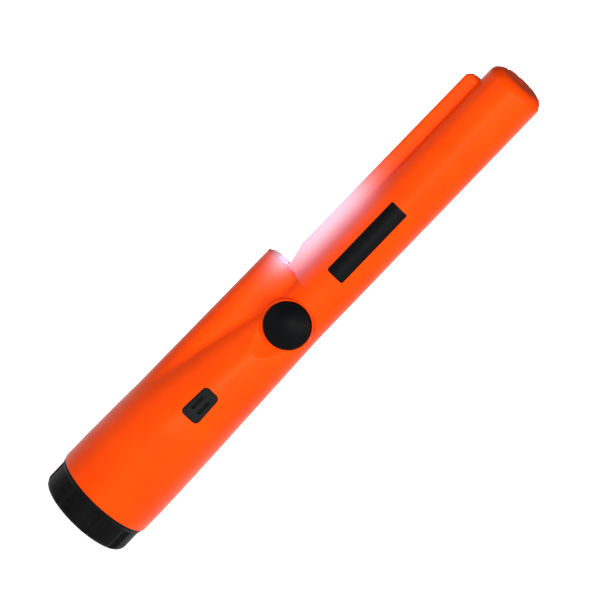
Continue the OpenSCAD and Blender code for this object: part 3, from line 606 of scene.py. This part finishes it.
def wire_pair(name, axis, middle, first, second):
    """Two insulated wires in one piece: one colour on each side of the plane between them, slightly waxy."""
    finish, shader = new_finish(name)
    place = add(finish, "ShaderNodeTexCoord").outputs["Object"]
    part = add(finish, "ShaderNodeSeparateXYZ", {"Vector": place})
    side = add(finish, "ShaderNodeMath", {0: part.outputs[axis], 1: middle * MM}, operation="GREATER_THAN")
    add(finish, "ShaderNodeMix",
        {MIX_SHARE: side.outputs[0], MIX_FIRST: linear(first), MIX_SECOND: linear(second)},
        shader.inputs["Base Color"], data_type="RGBA")
    uneven_gloss(finish, shader, place, (0.3, 0.45), size=1.5)
    return finish


def lit_lens(name):
    """Clear epoxy over a lit white chip: the dome glows evenly, a little violet, with a glossy skin."""
    finish, shader = new_finish(name)
    place = mottled(finish, shader, "#6f6678", "#7a7183", size=2.0)
    uneven_gloss(finish, shader, place, (0.05, 0.12), size=2.0)
    shader.inputs["Emission Color"].default_value = linear("#e6c6ea")
    shader.inputs["Emission Strength"].default_value = 1.0
    shader.inputs["IOR"].default_value = 1.54
    return finish


# ABS from a spark-eroded mould: strong even orange, a satin sheen and a faint tooth
ABS_ORANGE = moulded("ABS_orange_moulded", "#fc4606", "#fe4c08", (0.31, 0.39), tooth=0.7, depth=0.012,
                     shine=0.18)
# The same ABS with the lit lamp's violet-white light painted on as emission, which fades by the skin's own
# attribute
ABS_SHADER = ABS_ORANGE.node_tree.nodes["Principled BSDF"]
ABS_SHADER.inputs["Specular Tint"].default_value = linear("#ffa878")
ABS_SHADER.inputs["Emission Color"].default_value = linear("#aacef1")
painted_lamp_share = add(ABS_ORANGE, "ShaderNodeAttribute", attribute_name="painted_lamp_light")
ABS_ORANGE.node_tree.links.new(painted_lamp_share.outputs["Fac"], ABS_SHADER.inputs["Emission Strength"])
# Glass-filled nylon: near black, greyed along its rubbed edges
NYLON_BLACK = moulded("nylon_black_glass_filled", "#060607", "#0a0b0c", (0.38, 0.52), drift=5.0, depth=0.02,
                      shine=0.05, worn="#3a3b3d")
# Silicone rubber: soft black with a low broad sheen
SILICONE_BLACK = moulded("silicone_rubber_black", "#060708", "#090a0b", (0.42, 0.55), drift=7.0, depth=0.012,
                         ior=1.43, shine=0.05, worn="#1e1f21")
# Thermoplastic rubber over the speaker: dark grey, dull
RUBBER_GREY = moulded("thermoplastic_rubber_grey", "#0d0f11", "#131518", (0.5, 0.64), drift=3.0, depth=0.015,
                      shine=0.08, worn="#2c2e31")
# Nitrile rubber seals: black, greased, a little shiny
NITRILE = moulded("nitrile_rubber_moulded", "#0a0b0c", "#121314", (0.25, 0.4), drift=2.0)
# Polyester film plate: deep black satin
PLATE_BLACK = moulded("polyester_film_black", "#030405", "#050608", (0.3, 0.38), drift=10.0, tooth=0.5,
                      depth=0.006, shine=0.05)
# Polyethylene foam: flat grey, pitted
FOAM_GREY = foam("polyethylene_foam_grey", "#3a3d40", "#45494d")
# Enamelled copper: reddish amber, ribbed by its turns
COPPER = wound_copper("copper_wire_enamelled")
# Lit epoxy lens: pale violet glow under a gloss
LENS = lit_lens("epoxy_lens_lit")
# Drawn steel: cool grey, softly bright
STEEL = metal("steel_drawn", "#a9adb0", "#b7babd", (0.25, 0.38))
# Nickel plate: warm bright grey, the shiniest metal here
NICKEL = metal("nickel_plated", "#c4c4bf", "#d0cfc9", (0.15, 0.3))
# Stamped spring brass: clear yellow, half bright
BRASS = metal("spring_brass_stamped", "#c7a253", "#d6b468", (0.22, 0.35))
# Drawn aluminium cans: pale, slightly dull
ALUMINIUM = metal("aluminium_can_drawn", "#bcc0c4", "#c9ccd0", (0.28, 0.4))
# Sintered tungsten alloy: dark grey with a visible grit
TUNGSTEN = metal("tungsten_alloy_sintered", "#77787c", "#85868a", (0.4, 0.55), tooth=0.2, depth=0.01)
# Moulded epoxy of the chips, switch and buzzer: charcoal, dull
EPOXY_BLACK = moulded("epoxy_chip_moulded", "#161618", "#1e1e20", (0.5, 0.65), drift=3.0)
# Natural nylon: warm ivory, half matt
NYLON_IVORY = moulded("nylon_natural_moulded", "#e2ded2", "#ebe8de", (0.4, 0.55), drift=8.0)
# Acetal: clean white with a slippery sheen
ACETAL_WHITE = moulded("acetal_white_moulded", "#e9e9e6", "#f2f2ef", (0.3, 0.4), drift=4.0)
# Phenolic former: dark brown, half matt
PHENOLIC = moulded("phenolic_former_moulded", "#3b2417", "#47301f", (0.4, 0.55), drift=5.0)
# Pressed ferrite: slate grey, matt and gritty
FERRITE = moulded("ferrite_pressed", "#2a2b2e", "#36373a", (0.5, 0.7), drift=2.0, tooth=0.3, depth=0.03)
# Polyester membrane: dark smoky film
FILM = moulded("polyester_film_membrane", "#1a1b1d", "#222326", (0.3, 0.45), drift=3.0)
# Lacquered steel jacket of the battery: dark blue-grey, glossy
JACKET = moulded("steel_jacket_lacquered", "#2b2f34", "#343940", (0.2, 0.32), drift=12.0)
# Circuit board: green with its tracks showing through
BOARD = etched_board("glass_epoxy_board")
# PVC wires in pairs: black or blue or white beside red
BATTERY_LEADS = wire_pair("PVC_wire_battery", 0, NOSE_X, "#18191b", "#b01a18")
MOTOR_LEADS = wire_pair("PVC_wire_motor", 0, NOSE_X, "#1b3f8f", "#b01a18")
LAMP_LEADS = wire_pair("PVC_wire_lamp", 1, 0.0, "#d9d9d4", "#b01a18")

NODE_FINISH = {
    "cap_seal": NITRILE, "battery_block": JACKET, "battery_terminals": NICKEL, "button_clip": STEEL,
    "button_seal": NITRILE, "switch_body": EPOXY_BLACK, "switch_plunger": ACETAL_WHITE,
    "speaker_membrane": FILM, "buzzer": EPOXY_BLACK, "lamp_wires": LAMP_LEADS,
    "contact_carrier": NYLON_IVORY, "battery_contacts": BRASS, "carrier_screws": NICKEL, "main_board": BOARD,
    "board_chips": EPOXY_BLACK, "board_capacitors": ALUMINIUM, "battery_wires": BATTERY_LEADS,
    "vibration_motor": STEEL, "motor_saddle": NYLON_IVORY, "motor_shaft": STEEL, "motor_weight": TUNGSTEN,
    "motor_wires": MOTOR_LEADS, "coil_former": PHENOLIC, "ferrite_rod": FERRITE, "sending_coil": COPPER,
    "sensing_coil": COPPER, "coil_wires": COPPER,
}


def finish_nodes():
    """Gives each CAD node that still shows its own finish."""
    for name, finish in NODE_FINISH.items():
        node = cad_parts[name]
        if not node.material_slots:
            node.data.materials.append(finish)
        for place in node.material_slots:
            place.material = finish


# Casing skin

def hollow_rows(angle):
    """Points of the hollow by row and angle, as x of the centre line, radius and height.

    It runs from the end of the nose's bore down the cone over the battery bay to the cap's mouth, and keeps
    a flat face behind the button and the scoop.
    """
    z = np.concatenate(([BORE_TOP, BORE_TOP], spread(HOLLOW_STOPS, HOLLOW_COUNTS),
                        (MOUTH_TOP, MOUTH_TOP, JOINT_Z)))
    x = np.interp(z, (HANDLE_TOP, BLEND_TOP), (0, NOSE_X))
    r = np.interp(z, (HANDLE_TOP, BLEND_TOP), (BAY_R, BORE_R))
    # A ring halfway out on the bore's flat end, and the mouth's wider wall
    r[0] *= 0.5
    r[-2:] = MOUTH_R
    backed = (z > BACKED_LOW) & (z < BACKED_HIGH)
    flat = BORE_R / np.maximum(-np.sin(angle), 1e-6)
    r = np.where(backed[:, None], np.minimum(r[:, None], flat), r[:, None])
    return x[:, None] + 0 * r, r, z[:, None] + 0 * r


def skin_rows(angle):
    """Points of the skin by row and angle, as x of the centre line, radius and height.

    It runs from the joint to the tip, and is where a level ray from the centre line leaves the smooth form.
    Rows across the shelf, which is the lamp shoulder's flat top, go from the lobe's edge to the nose's foot
    at one height, and elsewhere rise a little up the nose.
    """
    low = np.concatenate((JOINT_Z + JOINT_ROUND * (1 - np.cos(quarter(4))), spread(LOW_STOPS, LOW_COUNTS),
                          SHOULDER_Z - LOBE_EDGE * (1 - np.sin(quarter(8))), [SHOULDER_Z - HAIR]))[:, None]
    high = np.concatenate(([SHOULDER_Z + HAIR], spread(HIGH_STOPS, HIGH_COUNTS),
                           TIP_Z - TIP_ROUND * (1 - np.sin(quarter(12)))))[:, None]
    low_r, high_r = casing_reach(angle, low), casing_reach(angle, high)
    share = np.linspace(0, 1, SHELF_ROWS)[:, None]
    shelf_r = low_r[-1] * (1 - share) + high_r[0] * share
    shelf_z = SHOULDER_Z + np.where(low_r[-1] - high_r[0] > SHELF_LEAST, HAIR, SHELF_LIFT) * share
    end_r = np.concatenate(((NOSE_R - TIP_ROUND) * np.array(END_SHARES), GATE_R * np.array(GATE_SHARES)))
    end_z = TIP_Z - GATE_DEPTH * np.concatenate((np.zeros(len(END_SHARES)), GATE_SINKS))
    level = np.zeros_like(angle)
    r = np.concatenate((low_r[:-1], shelf_r, high_r[1:], end_r[:, None] + level))
    z = np.concatenate((low[:-1] + level, shelf_z, high[1:] + level, end_z[:, None] + level))
    return form_x(z), r, z


def painted_lamp_light(points):
    """Share of the lamp's light painted on the skin as glow: even along the fin's edge to the end of the
    beam, soft towards the nose, round about the lens on the shelf, and fading fast down the lobe."""
    x, y, z = points.T
    rise = z - SHOULDER_Z
    start = 1 - BEAM_START_DIP * np.exp(-np.maximum(rise, 0) / BEAM_START_RUN)
    beam = start / (1 + np.exp((rise - BEAM_LENGTH) / BEAM_END_SOFT))
    inward = np.maximum(x - NOSE_X + FIN_REACH - BEAM_EDGE, 0)
    fin = beam * np.exp(-(inward / BEAM_WIDTH) ** 2)
    lobe = LOBE_GLOW * np.exp(np.minimum(rise, 0) / LOBE_GLOW_RUN - ((x - LAMP_X) / LOBE_GLOW_WIDTH) ** 2)
    on_shelf = np.abs(rise) < SHELF_BAND
    shelf = SHELF_GLOW * np.exp(-((x - LAMP_X) ** 2 + y ** 2) / SHELF_GLOW_WIDTH ** 2) * on_shelf
    return np.where(rise > SHELF_BAND, fin, np.maximum(lobe, shelf))


def insert_outline(x, z):
    """Distance to the speaker window's outline: a trapezoid, wider below, with rounded corners."""
    half = slant(z, INSERT_HALF_H, INSERT_LOW_HALF, INSERT_TOP_HALF)
    return rounded_meet(np.abs(x) - half, np.abs(z) - INSERT_HALF_H, INSERT_CORNER) - INSERT_GAP


def button_opening():
    """Hole for the button's seat: a cylinder a little inside the seat's ring, from the hollow forward."""
    radius = SEAT_R - SEAT_LAP
    profile = [(0, SEAT_CUT), (radius, SEAT_CUT), (radius, FAR_OUT), (0, FAR_OUT)]
    return turned(profile, (KNOB_X, 0, KNOB_Z), sides=96, forward=True)


def speaker_opening():
    """Speaker window as a closed prism: rays from its middle meet the outline, carried forward."""
    sides = 160
    a = np.arange(sides) * 2 * np.pi / sides
    r = leaving(lambda r: insert_outline(r * np.cos(a), r * np.sin(a)) < 0, a.shape)
    x, z = INSERT_X + r * np.cos(a), INSERT_Z + r * np.sin(a)
    grid = np.stack([np.stack((x, 0 * a - depth, z), -1) for depth in (INSERT_CUT, FAR_OUT)])
    return capped(grid, np.array(((INSERT_X, -INSERT_CUT, INSERT_Z), (INSERT_X, -FAR_OUT, INSERT_Z))))


def lamp_opening():
    """Bore for the lamp: a straight hole through the shelf over a wider room for the lamp's flange."""
    over = SHOULDER_Z + 0.3
    profile = [(0, LAMP_ROOM_Z), (LAMP_ROOM_R, LAMP_ROOM_Z), (LAMP_ROOM_R, LAMP_SEAT_Z),
               (LAMP_BORE_R, LAMP_SEAT_Z), (LAMP_BORE_R, over), (0, over)]
    return turned(profile, (LAMP_X, 0, 0), sides=64)


def casing():
    """Casing skin closed round its hollow, with openings for the button, the speaker and the lamp."""
    angle = spread(ANGLE_STOPS, ANGLE_COUNTS)
    x, r, z = (np.concatenate(rows) for rows in zip(hollow_rows(angle), skin_rows(angle)))
    grid = np.stack((x + r * np.cos(angle), r * np.sin(angle), z), -1)
    points, faces = capped(grid, np.array(((NOSE_X, 0, BORE_TOP), (NOSE_X, 0, TIP_Z - GATE_DEPTH))))
    skin = piece("casing_skin", points, faces, "housing", ABS_ORANGE, ("body_shell",))
    opened(skin, [button_opening(), speaker_opening(), lamp_opening()])
    # The lit lamp's light painted on the skin: a share at each point, which drives the casing's emission
    places = np.zeros(3 * len(skin.data.vertices))
    skin.data.vertices.foreach_get("co", places)
    light = skin.data.attributes.new("painted_lamp_light", "FLOAT", "POINT")
    light.data.foreach_set("value", painted_lamp_light(places.reshape(-1, 3) / MM))


# Pieces on the casing

def button_seat():
    """Seat ring of the button: a closed profile turned about the button's axis, with the rim rounded over."""
    height = SEAT_FRONT - SEAT_RIM
    rim = np.concatenate((arc((SEAT_R - SEAT_RIM, height), SEAT_RIM, 0, 90),
                          arc((WELL_R + SEAT_RIM, height), SEAT_RIM, 90, 180)))
    well = [(WELL_R, WELL_FLOOR), (STEM_HOLE_R, WELL_FLOOR), (STEM_HOLE_R, BORE_R), (WELL_R, BORE_R)]
    profile = np.concatenate(([(SEAT_R, SEAT_BACK)], rim, well))
    points, faces = turned(profile, (KNOB_X, 0, KNOB_Z), sides=144, forward=True, closed=True)
    piece("button_seat", points, faces, "housing", ABS_ORANGE)


def power_button():
    """Push button: a domed top that falls faster towards its rounded edge, a skirt, and a necked stem."""
    brow_r = KNOB_R - KNOB_EDGE
    r = brow_r * np.linspace(1, 0, 26)[1:]
    dome = np.stack((r, KNOB_TOP - DOME_RISE * (r / KNOB_R) ** DOME_POWER), -1)
    brow = KNOB_TOP - DOME_RISE * (brow_r / KNOB_R) ** DOME_POWER
    side = arc((brow_r, brow - KNOB_EDGE), KNOB_EDGE, 0, 78, 7)
    neck_low, neck_high = -CLIP_HIGH[1], -CLIP_LOW[1]
    stem = [(0, KNOB_END), (STEM_R, KNOB_END), (STEM_R, neck_low), (STEM_NECK_R, neck_low),
            (STEM_NECK_R, neck_high), (STEM_R, neck_high), (STEM_R, KNOB_ROOF)]
    skirt = [(SKIRT_IN_R, KNOB_ROOF), (SKIRT_IN_R, SKIRT_END), (KNOB_R, SKIRT_END)]
    profile = np.concatenate((stem, skirt, side, dome))
    points, faces = turned(profile, (KNOB_X, 0, KNOB_Z), sides=144, forward=True)
    piece("button_dome", points, faces, "button", SILICONE_BLACK, ("power_button",))


def skin_patch(middle, low_half, top_half, half_h, corner, proud, edge, back, recess):
    """A panel that follows the casing's front: a trapezoid grid with rounded corners, stood proud of the
    skin, with its edge turned down, a recess, and a flat back and sides that close it."""
    end = half_h - corner + corner * np.sin(np.linspace(0, np.pi / 2, 10))
    straight = np.linspace(corner - half_h, half_h - corner, int(half_h * 10))[1:-1]
    v = np.concatenate((-end[::-1], straight, end))
    u = np.sin(np.linspace(-np.pi / 2, np.pi / 2, 30))
    u = np.concatenate((u[:6], np.linspace(u[6], u[-7], 60), u[-6:]))
    cut_in = np.maximum(np.abs(v) - half_h + corner, 0)
    half = slant(v, half_h, low_half, top_half) - corner + np.sqrt(np.maximum(corner ** 2 - cut_in ** 2, 0))
    x, z = half[:, None] * u, np.repeat(v[:, None], len(u), 1)
    side = np.abs(x) - slant(z, half_h, low_half, top_half)
    inset = np.clip(edge + rounded_meet(side, np.abs(z) - half_h, corner), 0, edge)
    drop = edge - np.sqrt(np.maximum(edge ** 2 - inset ** 2, 0))
    sink = recess(x, z)
    x, z = x + middle[0], z + middle[1]
    front = np.stack((x, casing_front(x, z) - proud + drop + sink, z), -1)
    rear = np.stack((x, np.full(x.shape, back), z), -1)
    rows, columns = x.shape
    index = np.arange(rows * columns).reshape(rows, columns)
    loop = np.concatenate((index[0, :-1], index[:-1, -1], index[-1, :0:-1], index[:0:-1, 0]))
    ahead, shift = np.roll(loop, -1), rows * columns
    quads = grid_faces(rows, columns, False)
    walls = np.stack((loop, loop + shift, ahead + shift, ahead), -1)
    return np.concatenate((front, rear)).reshape(-1, 3), [quads, quads[:, ::-1] + shift, walls]


def sound_slots(x, z):
    """Depth of the insert's two upright slots with round ends, with a short slope at their edges."""
    gap = rounded_meet(np.abs(np.abs(x) - SLOT_X) - SLOT_HALF_W, np.abs(z) - SLOT_HALF_H, SLOT_HALF_W)
    return SLOT_DEPTH * np.clip(0.5 - gap / SLOT_SLOPE, 0, 1)


def speaker_insert():
    """Speaker insert: a panel of the casing's own curve in its window, with two sound slots."""
    points, faces = skin_patch((INSERT_X, INSERT_Z), INSERT_LOW_HALF, INSERT_TOP_HALF, INSERT_HALF_H,
                               INSERT_CORNER, INSERT_PROUD, INSERT_EDGE, INSERT_HIGH[1], sound_slots)
    piece("speaker_panel", points, faces, "housing", RUBBER_GREY, ("speaker_insert",))


def label_plate():
    """Bare plate on the nose's front: a thin panel of the nose's own curve, without a recess."""
    points, faces = skin_patch((NOSE_X, PLATE_Z), PLATE_HALF_W, PLATE_HALF_W, PLATE_HALF_H, PLATE_CORNER,
                               PLATE_PROUD, PLATE_EDGE, PLATE_SINK - NOSE_R, lambda x, z: 0.0)
    piece("front_plate", points, faces, "housing", PLATE_BLACK)


def lamp_lens():
    """Lamp: a turned profile of a straight epoxy body with a half-round dome and a flange at its foot."""
    flange_r, flange_top = LAMP_R + LAMP_FLANGE, LAMP_SEAT_Z - 0.05
    foot = [(0, LAMP_LOW[2]), (flange_r, LAMP_LOW[2]), (flange_r, flange_top), (LAMP_R, flange_top)]
    dome = arc((0, LAMP_HIGH[2] - LAMP_R), LAMP_R, 0, 90, 12)
    profile = np.concatenate((foot, dome[:-1], [(0, LAMP_HIGH[2])]))
    points, faces = turned(profile, (LAMP_X, 0, 0), sides=48)
    piece("lamp_lens", points, faces, "housing", LENS, ("lamp",))


# Cap and foam

def cap_profile():
    """Profile of the cap: out along its end, up skirt, rim and grooved spigot, and down to its floor."""
    knee = GROOVE_TOP - 0.6
    return np.concatenate((
        [(0, 0), (6, 0), (11, 0), (14, 0)],
        arc((SKIRT_R - CAP_ROUND, CAP_ROUND), CAP_ROUND, -90, 0, 12),
        wall(SKIRT_R, np.linspace(CAP_ROUND, knee, 8)[1:]),
        wall(SKIRT_R, np.linspace(knee, RIM_Z - CAP_STEP, 8)[1:]),
        [(RIM_R - RIM_BEVEL, RIM_Z - RIM_BEVEL), (RIM_R, RIM_Z + 0.05), (RIM_R, JOINT_Z - RIM_ROUND - 0.05)],
        arc((RIM_R - RIM_ROUND, JOINT_Z - RIM_ROUND), RIM_ROUND, 0, 90, 4),
        wall(SPIGOT_R, (JOINT_Z, SEAL_LOW)),
        wall(SEAL_GROOVE_R, (SEAL_LOW, SEAL_HIGH)),
        wall(SPIGOT_R, np.linspace(SEAL_HIGH, SPIGOT_TOP - SPIGOT_LEAD_IN, 40)),
        [(SPIGOT_R - SPIGOT_LEAD_IN, SPIGOT_TOP), (SPIGOT_IN_R + SPIGOT_IN_BEVEL, SPIGOT_TOP),
         (SPIGOT_IN_R, SPIGOT_TOP - SPIGOT_IN_BEVEL), (SPIGOT_IN_R, CAP_FLOOR), (0, CAP_FLOOR)]))


def grooved(r, a, z):
    """Radius of the skirt with its finger grooves: round channels at equal turns that end under the rim."""
    pitch = 2 * np.pi / GROOVES
    off = (a - GROOVE_TURN + pitch / 2) % pitch - pitch / 2
    centre = SKIRT_R + GROOVE_R - GROOVE_DEPTH
    side = centre * np.sin(off)
    channel = centre * np.cos(off) - np.sqrt(np.maximum(GROOVE_R ** 2 - side ** 2, 0))
    channel = np.where(np.abs(side) < GROOVE_R, channel, FAR_OUT)
    fade = np.sqrt(np.clip((GROOVE_FADE_TOP - z) / GROOVE_FADE, 0, 1))
    return r - (r - smooth_min(r, channel, GROOVE_SOFT)) * fade


def thread_rise(a, z):
    """Height of the thread over the spigot: a ridge that climbs by its lead a turn and fades at both ends."""
    ridge = THREAD_RISE * np.maximum(np.cos(2 * np.pi * z / THREAD_LEAD - a), 0) ** 4
    start = np.clip((z - THREAD_LOW) / THREAD_RUN_OUT, 0, 1)
    end = np.clip((THREAD_HIGH - z) / THREAD_RUN_OUT, 0, 1)
    return ridge * start * end


def battery_cap():
    """Screw cap: a turned profile with finger grooves round its skirt and a thread on its spigot."""
    points, faces = turned(cap_profile(), (0, 0, 0), sides=360)
    x, y, z = points.T
    r, a = np.hypot(x, y), np.arctan2(y, x)
    on_skirt = (z < RIM_Z - 0.3) & (r > CAP_END_R)
    on_spigot = np.abs(r - SPIGOT_R) < 0.01
    out = np.where(on_spigot, r + thread_rise(a, z), np.where(on_skirt, grooved(r, a, z), r))
    points[:, :2] *= (out / np.maximum(r, 1e-9))[:, None]
    piece("screw_cap", points, faces, "cap", NYLON_BLACK, ("battery_cap",))


def foam_parts():
    """Foam pieces: a pad under the battery and a cushion at the tip, both soft-edged discs, and the buzzer's
    ring."""
    discs = (("cap_pad", "cap", PAD_LOW, PAD_HIGH), ("tip_cushion", "housing", CUSHION_LOW, CUSHION_HIGH))
    for node, body, low, high in discs:
        middle = (low + high) / 2
        profile = rounded_profile(low[2], high[2], (high[0] - low[0]) / 2, FOAM_EDGE)
        points, faces = turned(profile, (middle[0], 0, 0), sides=72)
        piece(node + "_foam", points, faces, body, FOAM_GREY, (node,))
    middle = (GASKET_LOW + GASKET_HIGH) / 2
    outer = (GASKET_HIGH[0] - GASKET_LOW[0]) / 2
    profile = rounded_profile(-GASKET_HIGH[1], -GASKET_LOW[1], outer, GASKET_EDGE, outer - GASKET_WIDTH)
    points, faces = turned(profile, (middle[0], 0, middle[2]), sides=72, forward=True, closed=True)
    ring = piece("buzzer_gasket_foam", points, faces, "housing", FOAM_GREY, ("buzzer_gasket",))


# Camera, lamps and floor

# Picture size in pixels, and the camera fitted to the photograph: angles in degrees, lengths in millimetres
IMAGE_W, IMAGE_H = 600, 602
AZIMUTH, ELEVATION, ROLL = 1.28, 13.2, 43.86
CAMERA_FAR = 1600.0
FOCAL_PX = 4299.9
CENTRE_PX = (296.8, 300.3)
AIM = np.array((1.8, 0.0, 117.5))


def set_camera():
    """Camera at the photograph's viewing angle: it looks forward from its distance and rolls on that line."""
    a, e, t = np.radians((AZIMUTH, ELEVATION, ROLL))
    forward = np.array((-np.sin(a) * np.cos(e), np.cos(a) * np.cos(e), -np.sin(e)))
    right = np.array((np.cos(a), np.sin(a), 0.0))
    up = np.cross(right, forward)
    right, up = right * np.cos(t) + up * np.sin(t), up * np.cos(t) - right * np.sin(t)
    lens = bpy.data.cameras.new("camera")
    lens.sensor_fit = "HORIZONTAL"
    lens.sensor_width = 36.0
    lens.lens = FOCAL_PX * lens.sensor_width / IMAGE_W
    lens.shift_x = (IMAGE_W / 2 - CENTRE_PX[0]) / IMAGE_W
    lens.shift_y = (CENTRE_PX[1] - IMAGE_H / 2) / IMAGE_W
    lens.clip_end = 50.0
    camera = bpy.data.objects.new("camera", lens)
    place = Matrix.Identity(4)
    for column, axis in enumerate((right, up, -forward, (AIM - forward * CAMERA_FAR) * MM)):
        for row in range(3):
            place[row][column] = axis[row]
    camera.matrix_world = place
    bpy.context.scene.collection.objects.link(camera)
    bpy.context.scene.camera = camera


def soft_lamp(name, place, width, height, power):
    """White studio lamp at a place, in millimetres, facing the middle of the object."""
    light = bpy.data.lights.new(name, "AREA")
    light.shape = "RECTANGLE"
    light.size, light.size_y = width * MM, height * MM
    light.energy = power
    lamp = bpy.data.objects.new(name, light)
    lamp.location = Vector(place) * MM
    lamp.rotation_euler = (Vector(AIM) * MM - lamp.location).to_track_quat("-Z", "Y").to_euler()
    bpy.context.scene.collection.objects.link(lamp)


def studio():
    """White sweep: a pale floor that takes the shadow, soft lamps and an even white surround."""
    far = 12.0
    mesh = bpy.data.meshes.new("floor")
    mesh.from_pydata([(-far, -far, 0), (far, -far, 0), (far, far, 0), (-far, far, 0)], [], [(0, 1, 2, 3)])
    floor = bpy.data.objects.new("floor", mesh)
    bpy.context.scene.collection.objects.link(floor)
    # Paper sweep: matt pale grey to the lamps, and white where it is looked at, mirrored or seen through
    paper, shader = new_finish("paper_sweep_white")
    shader.inputs["Base Color"].default_value = linear("#dcdcdc")
    shader.inputs["Roughness"].default_value = 0.9
    shader.inputs["Emission Color"].default_value = (0.94, 0.94, 0.94, 1)
    seen = add(paper, "ShaderNodeLightPath").outputs
    direct = add(paper, "ShaderNodeMath", {0: seen["Is Camera Ray"], 1: seen["Is Glossy Ray"]},
                 operation="MAXIMUM")
    add(paper, "ShaderNodeMath", {0: direct.outputs[0], 1: seen["Is Transmission Ray"]},
        shader.inputs["Emission Strength"], operation="MAXIMUM")
    mesh.materials.append(paper)
    world = bpy.data.worlds.new("surround")
    world.use_nodes = True
    bpy.context.scene.world = world
    back = world.node_tree.nodes["Background"]
    back.inputs["Color"].default_value = (1, 1, 1, 1)
    back.inputs["Strength"].default_value = 0.12
    soft_lamp("side_softbox", (1000, -1250, 650), 900, 900, 21)
    soft_lamp("front_softbox", (120, -1520, 250), 350, 350, 12)
    soft_lamp("left_fill", (-1300, -700, 300), 900, 900, 3)
    # Low and far behind, so that the back is lit and neither the tip's end nor the near floor is
    soft_lamp("back_strip", (0, 6000, 130), 2500, 200, 250)
    bpy.context.scene.view_settings.view_transform = "Standard"


casing()
button_seat()
power_button()
speaker_insert()
label_plate()
battery_cap()
lamp_lens()
foam_parts()
finish_nodes()
studio()
set_camera()
